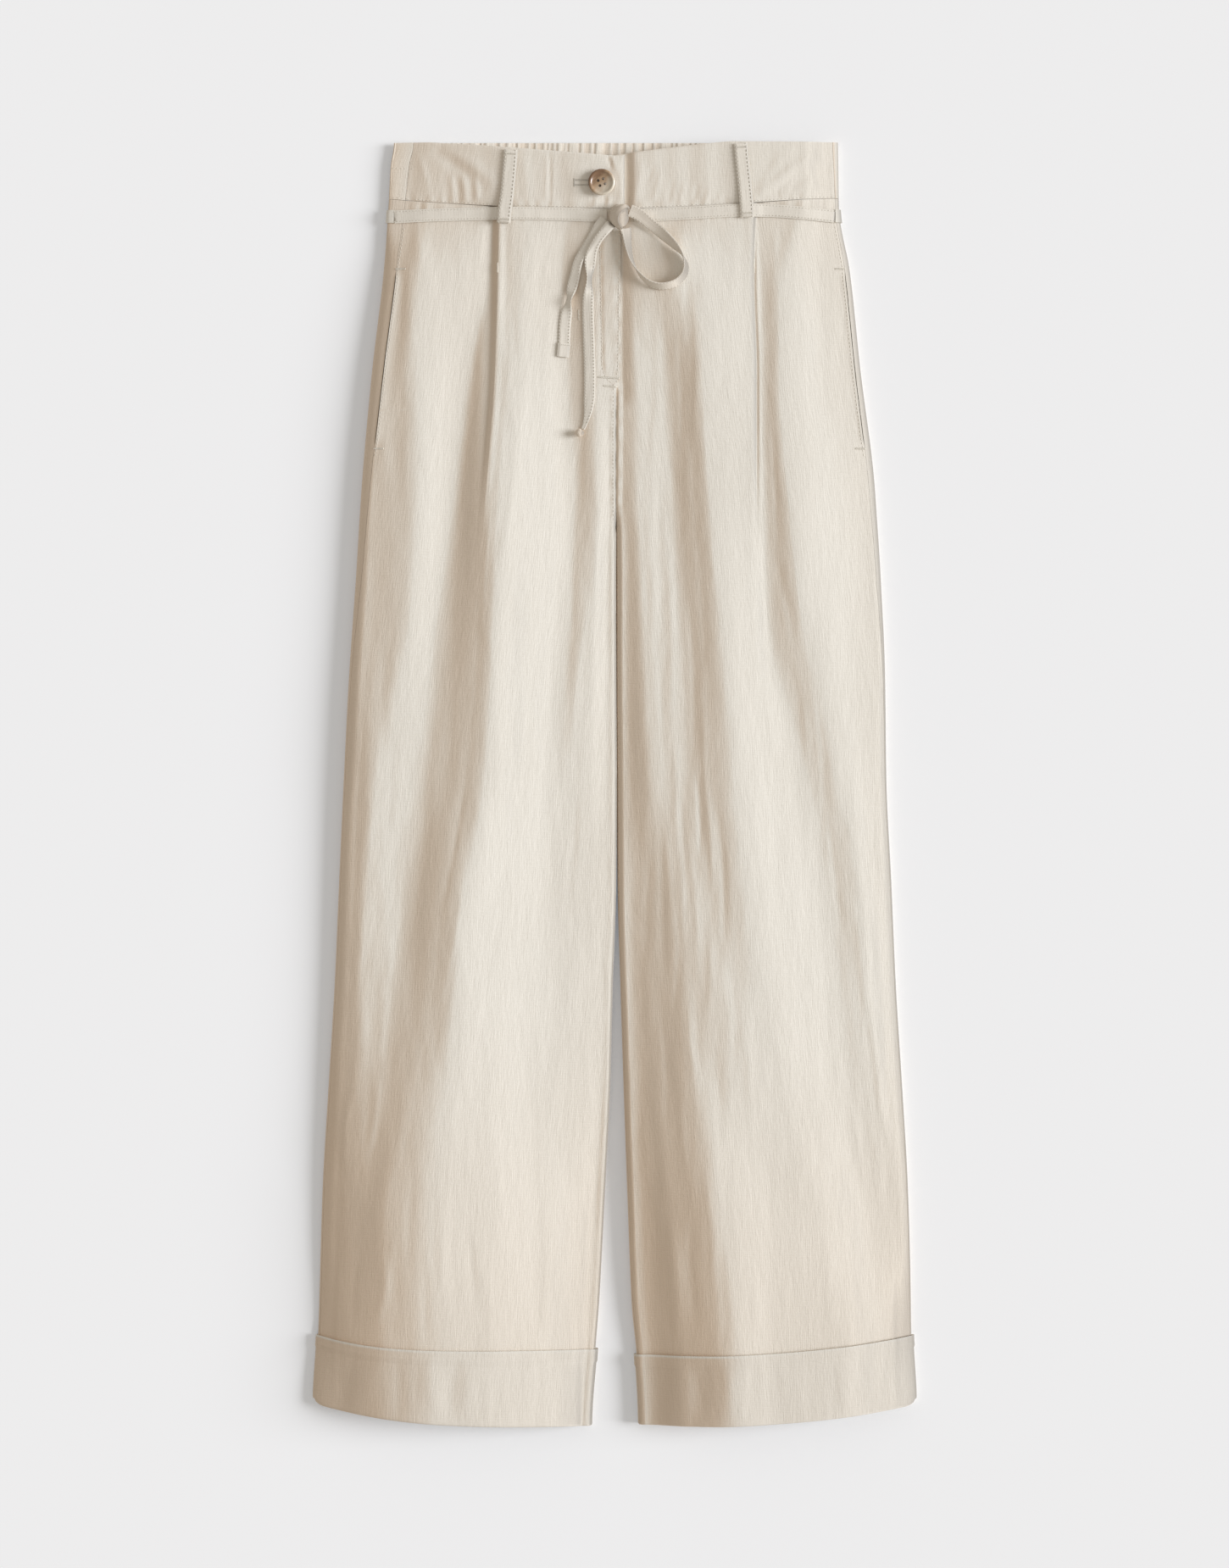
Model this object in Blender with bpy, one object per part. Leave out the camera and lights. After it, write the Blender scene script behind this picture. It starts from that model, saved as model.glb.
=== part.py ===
"""Wide-leg casual trousers with a tie belt, laid flat on a table, front side up.

Metres, +X to the wearer's left, +Y from the hems to the waist, +Z up from the table.
Each leg is a ring of cloth: the front panel lies on top with its folds, and the back panel lies
flat under it and turns up round both edges to meet the front at the side seam and the inseam.
"""
import math

import bmesh
import bpy
from mathutils import Vector
from mathutils.bvhtree import BVHTree

MM = 0.001

# ---------------------------------------------------------------- driving dimensions
CLOTH = 1.2 * MM            # one layer of the linen cloth, with its seam allowances
BAND_CLOTH = 1.8 * MM       # the faced waistband
SEAM = 0.3 * MM             # parting between two sewn pieces
WAIST_SEAM_Y = 474 * MM     # waistband meets the panels, at the side
WAIST_TOP_Y = 519.3 * MM    # back top edge of the waistband
CUFF_TOP_Y = -445.8 * MM    # at the outer edge of the leg
HEM_Y = -501.8 * MM         # at the outer edge of the leg
EDGE_ROLL = 10.5 * MM       # width of the round outer edge
INSEAM_ROLL = 6.0 * MM      # width of the round inner edge
BELT_Y = 459.5 * MM         # centre line of the tie band at the side
BELT_WIDTH = 10.5 * MM
BELT_CLOTH = 1.0 * MM
BELT_GAP = 0.6 * MM
LOOP_WIDTH = 11.2 * MM
BELT_LIFT = (2.6 * MM, 436 * MM, 446 * MM)      # rise of the underside over the tie, from y to y
CUFF_LIFT = (1.5 * MM, -428 * MM, -444 * MM)    # and over the turned-up hem
INSEAM_LIP = 1.2 * MM       # the front stops this far up the round inner edge
MOUTH_GAPE = 0.5 * MM       # how far the pocket mouth stands open
LEAST_SEAM = 1.3 * MM       # least distance of a side seam from the outer edge
UNDER_FLAP = 3.6 * MM       # extra width that lies under the fly's lap
GATHERS = 46                # gathers across the elastic back waistband
GATHER_DEPTH = 1.3 * MM
GATHER_BASE = 1.2 * MM      # thinnest place between two gathers

# ---------------------------------------------------------------- sections of each leg, in mm
# A row is one section across the leg.  y, then the height of the round outer edge, then where
# each fold line crosses it, measured outwards from the centre line, and how high it stands, and
# last the height at the centre line or inseam.
SECTION_COLUMNS = ("y", "outer_edge_z", "outer_ridge", "outer_ridge_z", "pleat_valley",
                   "pleat_valley_z", "pleat_edge", "pleat_edge_z", "main_ridge", "main_ridge_z",
                   "shoulder", "shoulder_z", "middle_valley", "middle_valley_z", "inner_ridge",
                   "inner_ridge_z", "centre_z")
RIGHT_SECTIONS = (
    (519, 8.0, 151, 11.4, 128, 12.0, 110, 12.2, 84, 12.6, 55, 11.8, 38, 12.2, 18, 12.6, 12.4),
    (474, 8.0, 150, 11.2, 100, 11.0, 94, 12.6, 77, 12.8, 58, 12.0, 39, 11.4, 18, 12.0, 12.2),
    (408, 9.8, 158, 12.4, 104, 10.5, 95, 12.2, 77, 12.6, 57, 11.2, 42, 10.4, 16, 12.4, 13.2),
    (333, 11.6, 158, 14.4, 117, 11.6, 97, 15.8, 85, 16.5, 57, 14.2, 38, 12.4, 14, 14.2, 14.2),
    (223, 12.6, 160, 16.2, 130, 13.8, 105, 19.8, 94, 20.6, 58, 16.2, 33, 13.0, 14, 14.8, 13.6),
    (127, 12.6, 168, 16.2, 143, 14.4, 112, 20.0, 98, 22.2, 65, 17.4, 40, 14.2, 18, 14.6, 13.0),
    (17, 13.0, 190, 15.8, 156, 15.0, 120, 20.0, 103, 22.2, 70, 17.6, 50, 14.8, 20, 13.8, 12.5),
    (-93, 12.2, 200, 14.6, 172, 14.8, 140, 20.0, 121, 22.2, 89, 18.6, 50, 13.4, 20, 12.6, 12.0),
    (-189, 11.6, 206, 14.4, 180, 16.4, 152, 20.8, 131, 23.0, 100, 20.6, 58, 15.0, 20, 12.6, 11.8),
    (-278, 10.8, 213, 14.0, 190, 18.5, 168, 22.6, 145, 24.4, 109, 22.2, 63, 16.4, 24, 12.7, 11.4),
    (-360, 9.4, 219, 12.4, 203, 17.3, 185, 22.0, 150, 25.4, 110, 23.6, 64, 18.2, 28, 12.8, 10.8),
    (-453, 7.4, 224, 10.0, 204, 16.4, 180, 21.2, 146, 23.8, 104, 22.2, 64, 18.0, 32, 12.4, 10.4),
)
LEFT_SECTIONS = (
    (519, 8.4, 152, 11.4, 128, 12.0, 110, 12.4, 78, 12.8, 58, 12.4, 41, 12.0, 18, 12.4, 12.4),
    (474, 8.4, 151, 11.0, 116, 10.6, 112, 12.6, 77, 12.8, 59, 12.2, 41, 11.4, 18, 12.0, 12.2),
    (408, 10.6, 133, 14.8, 118, 12.6, 111, 14.5, 72, 16.8, 52, 17.2, 36, 15.9, 16, 14.7, 13.2),
    (333, 11.6, 133, 17.5, 119, 15.0, 113, 16.4, 72, 19.3, 57, 17.3, 38, 14.7, 15, 15.6, 14.2),
    (223, 12.1, 141, 19.1, 121, 16.5, 113, 17.9, 77, 19.7, 63, 17.5, 46, 14.9, 18, 15.9, 13.6),
    (127, 12.4, 152, 17.8, 125, 15.8, 112, 17.8, 85, 20.0, 70, 18.0, 50, 15.5, 24, 15.4, 12.8),
    (17, 12.8, 175, 16.3, 153, 15.6, 128, 17.8, 95, 21.1, 74, 19.2, 58, 17.2, 28, 16.0, 12.0),
    (-93, 12.6, 198, 15.0, 175, 14.7, 142, 18.0, 104, 21.5, 80, 20.1, 58, 19.0, 32, 16.2, 11.6),
    (-189, 12.6, 206, 14.9, 182, 15.3, 156, 18.2, 122, 21.7, 92, 22.1, 60, 20.6, 34, 16.4, 11.4),
    (-278, 12.6, 216, 13.6, 192, 14.4, 165, 17.7, 142, 20.2, 105, 21.7, 76, 22.9, 40, 17.0, 11.2),
    (-360, 12.1, 223, 12.5, 208, 13.5, 188, 16.7, 165, 20.1, 125, 22.7, 88, 25.2, 50, 18.9, 10.6),
    (-453, 10.4, 225, 12.2, 210, 15.3, 190, 18.8, 165, 20.2, 128, 22.0, 98, 24.0, 58, 17.0, 7.4),
)

# ---------------------------------------------------------------- outline, in mm
# y, then for the wearer's right and left leg the reach of the outer edge, the place of the
# inner edge (both signed) and how far the side seam lies in from the outer edge.
OUTLINE_COLUMNS = ("y", "right_outer", "right_inner", "right_seam", "left_inner", "left_outer",
                   "left_seam")
OUTLINE = (
    (519, -178.7, 1.2, 16.0, 1.2, 181.0, 4.5),
    (466, -181.5, 1.2, 13.0, 1.2, 181.8, 3.0),
    (415, -187.0, 1.2, 10.3, 1.2, 190.5, 4.2),
    (333, -196.5, 1.4, 9.5, 1.4, 199.3, 4.5),
    (250, -204.0, 1.2, 7.5, 1.2, 209.8, 5.2),
    (168, -209.3, 1.2, 5.0, 1.2, 215.4, 4.0),
    (86, -215.0, 1.4, 2.0, 1.4, 219.0, 2.0),
    (4, -219.2, 1.8, 1.4, 1.8, 220.0, 1.4),
    (-79, -223.0, 1.6, 1.4, 2.2, 224.0, 1.4),
    (-161, -226.6, -1.0, 1.4, 4.4, 227.6, 1.4),
    (-243, -231.5, -3.1, 1.4, 7.0, 232.7, 1.4),
    (-326, -236.4, -7.2, 1.4, 9.9, 237.4, 1.4),
    (-408, -239.0, -12.0, 1.4, 13.6, 239.8, 1.4),
    (-446, -240.2, -15.2, 1.4, 17.6, 240.4, 1.4),
    (-502, -243.0, -19.4, 1.4, 20.4, 243.0, 1.4),
)

# Sag of the seams and hems across one side, in mm: how deep below the outer end, and how early.
WAIST_REACH = 183 * MM
WAIST_SEAM_SAG = {"right": (9.0, 1.0), "left": (9.0, 1.7)}
WAIST_TOP_DIP = {"right": (11.6, 1.1, 150.0), "left": (11.0, 1.2, 95.0)}
CUFF_TOP_SAG = {"right": (11.0, 5.0), "left": (15.6, 2.5)}
HEM_SAG = {"right": (17.0, 3.0), "left": (16.6, 2.6)}

# ---------------------------------------------------------------- fly and crotch, heights of y
FLY_LAP = 4.9 * MM          # front edge of the lap, past the centre line
FLY_UNDER = -3.0 * MM       # the covered edge
FLY_BOTTOM = (318 * MM, 330 * MM)
LAP_DROP = CLOTH + 0.5 * MM
LAP_DROP_END = (301 * MM, 317 * MM)
CROTCH_TURN = (200 * MM, 229 * MM)
POCKET_MOUTH = (272 * MM, 416 * MM)

SIDES = (("right", -1), ("left", 1))

PANEL_ROWS = [v * MM for v in (
    473.7, 462, 446, 426, 396, 364, 330, 317.5, 300, 272, 248, 229, 219, 210, 200, 172, 138, 98, 55,
    8, -40, -93, -141, -189, -234, -278, -320, -360, -398, -428, -445.8, -462)]
BAND_ROWS = [v * MM for v in (474.0, 480, 494, 508, 519.3)]
BACK_BAND_ROWS = [v * MM for v in (474.0, 497, 519.3)]


def smooth(low, high, value):
    """0 at low, 1 at high, easing in between."""
    share = min(1.0, max(0.0, (value - low) / (high - low)))
    return share * share * (3.0 - 2.0 * share)


def track(knots):
    """A smooth curve through (place, value) knots that never overshoots them."""
    knots = sorted(knots)
    xs = [k[0] for k in knots]
    ys = [k[1] for k in knots]
    steps = [(ys[i + 1] - ys[i]) / (xs[i + 1] - xs[i]) for i in range(len(xs) - 1)]
    slopes = [0.0] * len(xs)
    for i in range(1, len(xs) - 1):
        if steps[i - 1] * steps[i] > 0.0:
            slopes[i] = 2.0 * steps[i - 1] * steps[i] / (steps[i - 1] + steps[i])

    def value(x):
        if x <= xs[0]:
            return ys[0]
        if x >= xs[-1]:
            return ys[-1]
        i = max(k for k in range(len(xs) - 1) if xs[k] <= x)
        width = xs[i + 1] - xs[i]
        t = (x - xs[i]) / width
        rise = (2 * t - 3) * t * t
        return (ys[i] * (1 + rise) - ys[i + 1] * rise
                + slopes[i] * width * t * (1 - t) ** 2 - slopes[i + 1] * width * t * t * (1 - t))
    return value


def table_tracks(columns, rows):
    """One smooth track down the garment for each column of a table, in metres."""
    return {name: track([(row[0] * MM, row[index] * MM) for row in rows])
            for index, name in enumerate(columns)}


TRACKS = {"right": table_tracks(SECTION_COLUMNS, RIGHT_SECTIONS),
          "left": table_tracks(SECTION_COLUMNS, LEFT_SECTIONS)}
EDGES = table_tracks(OUTLINE_COLUMNS, OUTLINE)


# ---------------------------------------------------------------- one section of one leg
def under_lift(y):
    """Height of the underside: up over the belt at the waist and over the cuff at the hem."""
    return BELT_LIFT[0] * smooth(*BELT_LIFT[1:], y) + CUFF_LIFT[0] * smooth(*CUFF_LIFT[1:], y)


def section(side, y):
    """The numbers of one section: its edges, its seams and the profile of its top."""
    sign = dict(SIDES)[side]
    along = TRACKS[side]
    outer = sign * EDGES[side + "_outer"](y)
    centre = EDGES[side + "_inner"](y)
    turn = 1.0 - smooth(*CROTCH_TURN, y)
    lap = smooth(*FLY_BOTTOM, y)
    seam_gap = 0.5 * SEAM + 0.15 * MM * turn
    inner = sign * centre + seam_gap
    front_inner = inner
    flap = INSEAM_ROLL
    drop = 0.0
    if side == "right":
        front_inner = inner + lap * (-FLY_LAP - inner)
    else:
        front_inner = inner + lap * (FLY_UNDER - inner)
        flap += lap * UNDER_FLAP
        drop = LAP_DROP * smooth(*LAP_DROP_END, y)
    mouth = (smooth(POCKET_MOUTH[0], POCKET_MOUTH[0] + 8 * MM, y)
             * (1.0 - smooth(POCKET_MOUTH[1] - 8 * MM, POCKET_MOUTH[1], y)))
    edge_z = along["outer_edge_z"](y)
    centre_z = along["centre_z"](y) - drop
    names = ("outer_ridge", "pleat_valley", "pleat_edge", "main_ridge", "shoulder",
             "middle_valley", "inner_ridge")
    folds = [(along[name](y), along[name + "_z"](y)) for name in names]
    front_end = (front_inner + flap, centre_z)
    return {
        "sign": sign, "y": y, "outer": outer, "inner": inner, "turn": turn,
        "edge_z": edge_z, "centre_z": centre_z, "lift": under_lift(y),
        "front_inner": front_inner, "flap": flap, "mouth": mouth,
        "seam": outer - max(EDGES[side + "_seam"](y), LEAST_SEAM),
        "knots": [(outer - EDGE_ROLL, edge_z)] + folds + [front_end],
        "profile": track([(outer - EDGE_ROLL, edge_z)] + folds + [front_end]),
    }


def top_height(cut, out):
    """Height of the top of a section at a place measured outwards from the centre line."""
    lift = cut["lift"]
    roll_start = cut["outer"] - EDGE_ROLL
    if out > roll_start:
        share = min(1.0, (out - roll_start) / EDGE_ROLL)
        half = 0.5 * (cut["edge_z"] - lift)
        return lift + half * (1.0 + math.sqrt(1.0 - share * share))
    flap_end = cut["front_inner"] + cut["flap"]
    if out < flap_end:
        share = min(1.0, (flap_end - out) / cut["flap"])
        half = 0.5 * (cut["centre_z"] - lift)
        rolled = lift + half * (1.0 + math.sqrt(1.0 - share * share))
        return cut["centre_z"] + (rolled - cut["centre_z"]) * cut["turn"]
    return cut["profile"](out)


FRONT_SPLITS = (2, 2, 3, 2, 3, 2, 3, 3, 2, 2)


def front_stations(cut, splits):
    """Places across the front panel, from the side seam inwards along the fold lines."""
    seam_end = cut["seam"] - 0.5 * SEAM - MOUTH_GAPE * cut["mouth"]
    inner_end = cut["front_inner"] + INSEAM_LIP * cut["turn"]
    marks = [knot[0] for knot in cut["knots"]]
    if seam_end < marks[0] + 1.0 * MM:
        marks[0] = 0.5 * (seam_end + marks[1])
    marks = [seam_end] + marks + [inner_end]
    places = [marks[0]]
    for start, end, count in zip(marks, marks[1:], splits):
        places += [start + (end - start) * (k + 1) / count for k in range(count)]
    return places


def front_points(cut, splits, thickness):
    """Outer and inner points of the front wall in one section, as (out, height) pairs."""
    places = front_stations(cut, splits)
    outer = [(p, top_height(cut, p) + MOUTH_GAPE * cut["mouth"] * (k == 0))
             for k, p in enumerate(places)]
    inner = []
    for k, (p, z) in enumerate(outer):
        before = outer[max(0, k - 1)]
        after = outer[min(len(outer) - 1, k + 1)]
        slope = (after[1] - before[1]) / (after[0] - before[0])
        inner.append((p, z - thickness * min(1.7, math.hypot(1.0, slope))))
    return outer, inner


def inward_normals(points):
    """Unit normals to the right of the way the points run."""
    normals = []
    for k in range(len(points)):
        before = points[max(0, k - 1)]
        after = points[min(len(points) - 1, k + 1)]
        length = math.hypot(after[0] - before[0], after[1] - before[1])
        normals.append(((after[1] - before[1]) / length, -(after[0] - before[0]) / length))
    return normals


def back_points(cut, thickness, edge_steps=5, flat_steps=2, inner_steps=4):
    """Outer and inner points of the back wall: round the side edge, across and up the inseam."""
    lift = cut["lift"]
    half = 0.5 * (cut["edge_z"] - lift)
    roll = cut["outer"] - EDGE_ROLL
    start = cut["seam"] + 0.5 * SEAM
    first_angle = math.acos(min(0.99, max(0.1, (start - roll) / EDGE_ROLL)))
    outer = [(start, top_height(cut, start))]
    for k in range(1, edge_steps + 1):
        angle = first_angle + (-0.5 * math.pi - first_angle) * k / edge_steps
        outer.append((roll + EDGE_ROLL * math.cos(angle), lift + half * (1 + math.sin(angle))))
    flat_end = cut["inner"] + INSEAM_ROLL
    outer += [(roll + (flat_end - roll) * k / flat_steps, lift) for k in range(1, flat_steps + 1)]
    inner_half = 0.5 * (cut["centre_z"] - lift)
    top_share = 1.0 - (INSEAM_LIP - SEAM) / INSEAM_ROLL
    last_angle = math.pi - math.acos(top_share)
    for k in range(1, inner_steps + 1):
        angle = -0.5 * math.pi - (1.5 * math.pi - last_angle) * k / inner_steps
        rolled = (flat_end + INSEAM_ROLL * math.cos(angle), lift + inner_half * (1 + math.sin(angle)))
        plain = (flat_end - INSEAM_ROLL * k / inner_steps, lift)
        turn = cut["turn"]
        outer.append(tuple(p + (r - p) * turn for p, r in zip(plain, rolled)))
    inner = [(p[0] + n[0] * thickness, p[1] + n[1] * thickness)
             for p, n in zip(outer, inward_normals(outer))]
    inner[0] = (outer[0][0], outer[0][1] - 1.5 * thickness)
    facing = math.pi * (0.5 - cut["turn"])
    reach = thickness * (1.0 + 0.5 * cut["turn"])
    inner[-1] = (outer[-1][0] + math.cos(facing) * reach, outer[-1][1] + math.sin(facing) * reach)
    return outer, inner


# ---------------------------------------------------------------- how rows bend across the piece
def outer_share(cut, out):
    """0 at the outer edge of a section, 1 at its inner edge."""
    return min(1.0, max(0.0, (cut["outer"] - out) / (cut["outer"] - cut["inner"])))


def waist_sag(side, out):
    """How far the waist seam hangs below its ends."""
    depth, power = WAIST_SEAM_SAG[side]
    reach = min(1.0, max(0.0, out / WAIST_REACH))
    return depth * MM * (1 - reach * reach) ** power


def row_y(side, cut, out, is_back=False):
    """Place along the garment of a point of a row: the waist seam and the hem both sag."""
    y = cut["y"]
    sag = waist_sag(side, max(out, cut["seam"]) if is_back else out)
    waist = smooth(396 * MM, WAIST_SEAM_Y, y) * sag
    share = outer_share(cut, out)
    depth, power = CUFF_TOP_SAG[side]
    cuff_sag = depth * MM * (1 - (1 - share) ** power)
    depth, power = HEM_SAG[side]
    hem_sag = depth * MM * (1 - (1 - share) ** power)
    at_cuff = smooth(-330 * MM, CUFF_TOP_Y, y)
    in_cuff = min(1.0, max(0.0, (CUFF_TOP_Y - y) / (CUFF_TOP_Y - HEM_Y)))
    return y - waist - at_cuff * (cuff_sag + (hem_sag - cuff_sag) * in_cuff)


# ---------------------------------------------------------------- meshes
def cloth_material(name, colour, roughness=0.85, metallic=0.0):
    material = bpy.data.materials.new(name)
    material.use_nodes = True
    shader = material.node_tree.nodes["Principled BSDF"]
    shader.inputs["Base Color"].default_value = (*colour, 1.0)
    shader.inputs["Roughness"].default_value = roughness
    shader.inputs["Metallic"].default_value = metallic
    material.diffuse_color = (*colour, 1.0)
    return material


def add_object(name, bm, colour, roughness=0.85):
    """Make one closed, outward-facing object from a bmesh."""
    bmesh.ops.triangulate(bm, faces=bm.faces[:])
    bmesh.ops.recalc_face_normals(bm, faces=bm.faces[:])
    mesh = bpy.data.meshes.new(name)
    bm.to_mesh(mesh)
    bm.free()
    mesh.shade_smooth()
    mesh.set_sharp_from_angle(angle=math.radians(50))
    mesh.materials.append(cloth_material(name + "_finish", colour, roughness))
    thing = bpy.data.objects.new(name, mesh)
    bpy.context.scene.collection.objects.link(thing)
    return thing


def wall(name, outer_rows, inner_rows, colour):
    """A sheet of cloth: two grids of points joined round all four edges."""
    bm = bmesh.new()
    outer = [[bm.verts.new(p) for p in row] for row in outer_rows]
    inner = [[bm.verts.new(p) for p in row] for row in inner_rows]
    rows = len(outer)
    columns = len(outer[0])
    for i in range(rows - 1):
        for j in range(columns - 1):
            bm.faces.new((outer[i][j], outer[i][j + 1], outer[i + 1][j + 1], outer[i + 1][j]))
            bm.faces.new((inner[i][j], inner[i + 1][j], inner[i + 1][j + 1], inner[i][j + 1]))
        for j in (0, columns - 1):
            bm.faces.new((outer[i][j], outer[i + 1][j], inner[i + 1][j], inner[i][j]))
    for i in (0, rows - 1):
        for j in range(columns - 1):
            bm.faces.new((outer[i][j], inner[i][j], inner[i][j + 1], outer[i][j + 1]))
    return add_object(name, bm, colour)


def loop_stack(name, loops, colour, closed=False, roughness=0.85):
    """Join rings of points one after another; the two ends are filled unless it closes."""
    bm = bmesh.new()
    rings = [[bm.verts.new(p) for p in loop] for loop in loops]
    count = len(rings[0])
    pairs = list(zip(rings, rings[1:]))
    if closed:
        pairs.append((rings[-1], rings[0]))
    for one, two in pairs:
        for k in range(count):
            n = (k + 1) % count
            bm.faces.new((one[k], one[n], two[n], two[k]))
    if not closed:
        bm.faces.new(rings[0])
        bm.faces.new(rings[-1][::-1])
    return add_object(name, bm, colour, roughness)


LINEN = (0.79, 0.74, 0.65)
LINEN_SHADE = (0.74, 0.69, 0.60)
HORN = (0.42, 0.27, 0.17)


def place(side, cut, points, is_back=False):
    """Section points as points in space."""
    return [(cut["sign"] * out, row_y(side, cut, out, is_back), z) for out, z in points]


def front_panel(side):
    outer_rows, inner_rows = [], []
    for y in PANEL_ROWS:
        cut = section(side, y)
        outer, inner = front_points(cut, FRONT_SPLITS, CLOTH)
        outer_rows.append(place(side, cut, outer))
        inner_rows.append(place(side, cut, inner))
    return wall("front_" + side, outer_rows, inner_rows, LINEN)


def back_panel(side):
    outer_rows, inner_rows = [], []
    for y in PANEL_ROWS:
        cut = section(side, y)
        outer, inner = back_points(cut, CLOTH)
        outer_rows.append(place(side, cut, outer, True))
        inner_rows.append(place(side, cut, inner, True))
    return wall("back_" + side, outer_rows, inner_rows, LINEN_SHADE)


# ---------------------------------------------------------------- waistband
BAND_LAP = 8.0 * MM         # lap end of the band past the centre line
BAND_UNDER = -22.0 * MM     # covered end, under the button
BAND_DROP = BAND_CLOTH + 0.5 * MM
BAND_EDGE = (171 * MM, 11.6 * MM)               # place and height where it turns down at the side
BAND_ROUND = 160 * MM       # from here out it follows the round side edge
BAND_CREST = 0.5 * MM       # its top edge stands this much higher
BAND_PLACES = [v * MM for v in (150, 120, 84, 62, 53, 40, 22)]
LAP_PLACES = {"right": [8 * MM], "left": [BAND_LAP + v * MM for v in (9, 4, 1)]}


def band_height(side, y, out):
    """Height of the top of the waistband: a gently waved flat band."""
    along = TRACKS[side]
    knots = [BAND_EDGE]
    names = ("outer_ridge", "pleat_edge", "main_ridge", "shoulder", "inner_ridge")
    knots += [(along[name](WAIST_TOP_Y), along[name + "_z"](WAIST_TOP_Y)) for name in names]
    knots += [(0.0, along["centre_z"](WAIST_TOP_Y))]
    height = track(knots)(out)
    if side == "left":
        height -= BAND_DROP * (1.0 - smooth(LAP_PLACES["left"][2], LAP_PLACES["left"][0], out))
    return height + BAND_CREST * smooth(WAIST_SEAM_Y, WAIST_TOP_Y, y)


def band_top_y(side, y, out):
    """Rows of the front waistband run from the sagging seam to the dipped top edge."""
    share = (y - WAIST_SEAM_Y) / (WAIST_TOP_Y - WAIST_SEAM_Y)
    low = waist_sag(side, out)
    depth, power, width = WAIST_TOP_DIP[side]
    high = depth * MM * (1 - min(1.0, max(0.0, out) / (width * MM))) ** power
    return y - low * (1 - share) - high * share


def front_band(side):
    outer_rows, inner_rows = [], []
    end = -BAND_LAP if side == "right" else BAND_UNDER
    for y in BAND_ROWS:
        cut = section(side, y)
        seam_end = cut["seam"] - 0.5 * SEAM
        outer, inner = [], []
        for out in [seam_end] + BAND_PLACES + LAP_PLACES[side] + [end]:
            z = band_height(side, y, out)
            if out > BAND_ROUND:
                z = min(z, top_height(cut, out))
            x = cut["sign"] * out
            outer.append((x, band_top_y(side, y, out), z))
            inner.append((x, band_top_y(side, y, out), z - BAND_CLOTH * 1.05))
        outer_rows.append(outer)
        inner_rows.append(inner)
    return wall("waistband_front_" + side, outer_rows, inner_rows, LINEN)


def back_band():
    """The elastic back waistband: flat below, gathered above, turned up at both side edges."""
    across = 4 * GATHERS
    outer_rows, inner_rows = [], []
    for y in BACK_BAND_ROWS:
        edges = {}
        for side, sign in SIDES:
            cut = section(side, y)
            rows = back_points(cut, BAND_CLOTH, 5, 1, 1)
            low = 1.0 - smooth(WAIST_SEAM_Y, BACK_BAND_ROWS[1], y)
            edges[side] = [[(sign * out, y - low * waist_sag(side, max(out, cut["seam"])), z)
                            for out, z in row[:6]] for row in rows]
        start, end = edges["left"][0][-1], edges["right"][0][-1]
        outer, inner = edges["left"][0][:], edges["left"][1][:]
        for k in range(1, across):
            x = start[0] + (end[0] - start[0]) * k / across
            wave = 0.5 - 0.5 * math.cos(0.5 * math.pi * k)
            uneven = 0.75 + 0.25 * math.sin(1.7 * k + 0.6 * math.sin(0.9 * k))
            row_place = start[1] if x > 0.0 else end[1]
            outer.append((x, row_place, start[2]))
            inner.append((x, row_place, start[2] + GATHER_BASE + GATHER_DEPTH * wave * uneven))
        outer += edges["right"][0][::-1]
        inner += edges["right"][1][::-1]
        outer_rows.append(outer)
        inner_rows.append(inner)
    return wall("waistband_back", outer_rows, inner_rows, LINEN_SHADE)


# ---------------------------------------------------------------- turn-up cuffs
CUFF_SPLITS = (2, 2, 1, 1, 2, 2, 2, 2, 1, 2)
CUFF_GAP = 0.5 * MM         # between the two layers of the turned-up hem
CUFF_OUT = CUFF_GAP + CLOTH
CUFF_FOLD = 1.1 * MM        # rounding of the fold at the hem
PANEL_END_Y = -462 * MM     # the panels end inside the turned-up layer


def leg_ring(side, y):
    """All of one section as a closed ring, with its outward normals."""
    cut = section(side, y)
    front, _ = front_points(cut, CUFF_SPLITS, CLOTH)
    back, _ = back_points(cut, CLOTH)
    ring = front[::-1] + back[1:-1]
    count = len(ring)
    normals = []
    for k in range(count):
        before, after = ring[k - 1], ring[(k + 1) % count]
        length = math.hypot(after[0] - before[0], after[1] - before[1])
        normals.append((-(after[1] - before[1]) / length, (after[0] - before[0]) / length))
    return cut, ring, normals


def cuff(side):
    """The turned-up hem: a folded band round the leg, closed below and turned back inside."""
    inner_top = PANEL_END_Y - 1.0 * MM
    fold_y = HEM_Y + CLOTH + 0.4 * MM
    profile = (
        (CUFF_OUT, CUFF_TOP_Y), (CUFF_OUT, PANEL_END_Y), (CUFF_OUT, HEM_Y + 1.5 * CUFF_FOLD),
        (CUFF_OUT - CUFF_FOLD, HEM_Y), (CUFF_FOLD - CLOTH, HEM_Y), (-CLOTH, HEM_Y + 1.3 * CUFF_FOLD),
        (-CLOTH, inner_top), (0.0, inner_top), (0.0, fold_y),
        (CUFF_GAP, fold_y), (CUFF_GAP, PANEL_END_Y), (CUFF_GAP, CUFF_TOP_Y),
    )
    loops = []
    for offset, y in profile:
        cut, ring, normals = leg_ring(side, y)
        moved = [(p[0] + n[0] * offset, p[1] + n[1] * offset) for p, n in zip(ring, normals)]
        loops.append([(cut["sign"] * m[0], row_y(side, cut, p[0]), max(m[1], 0.0))
                      for m, p in zip(moved, ring)])
    return loop_stack("cuff_" + side, loops, LINEN, closed=True)


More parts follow.
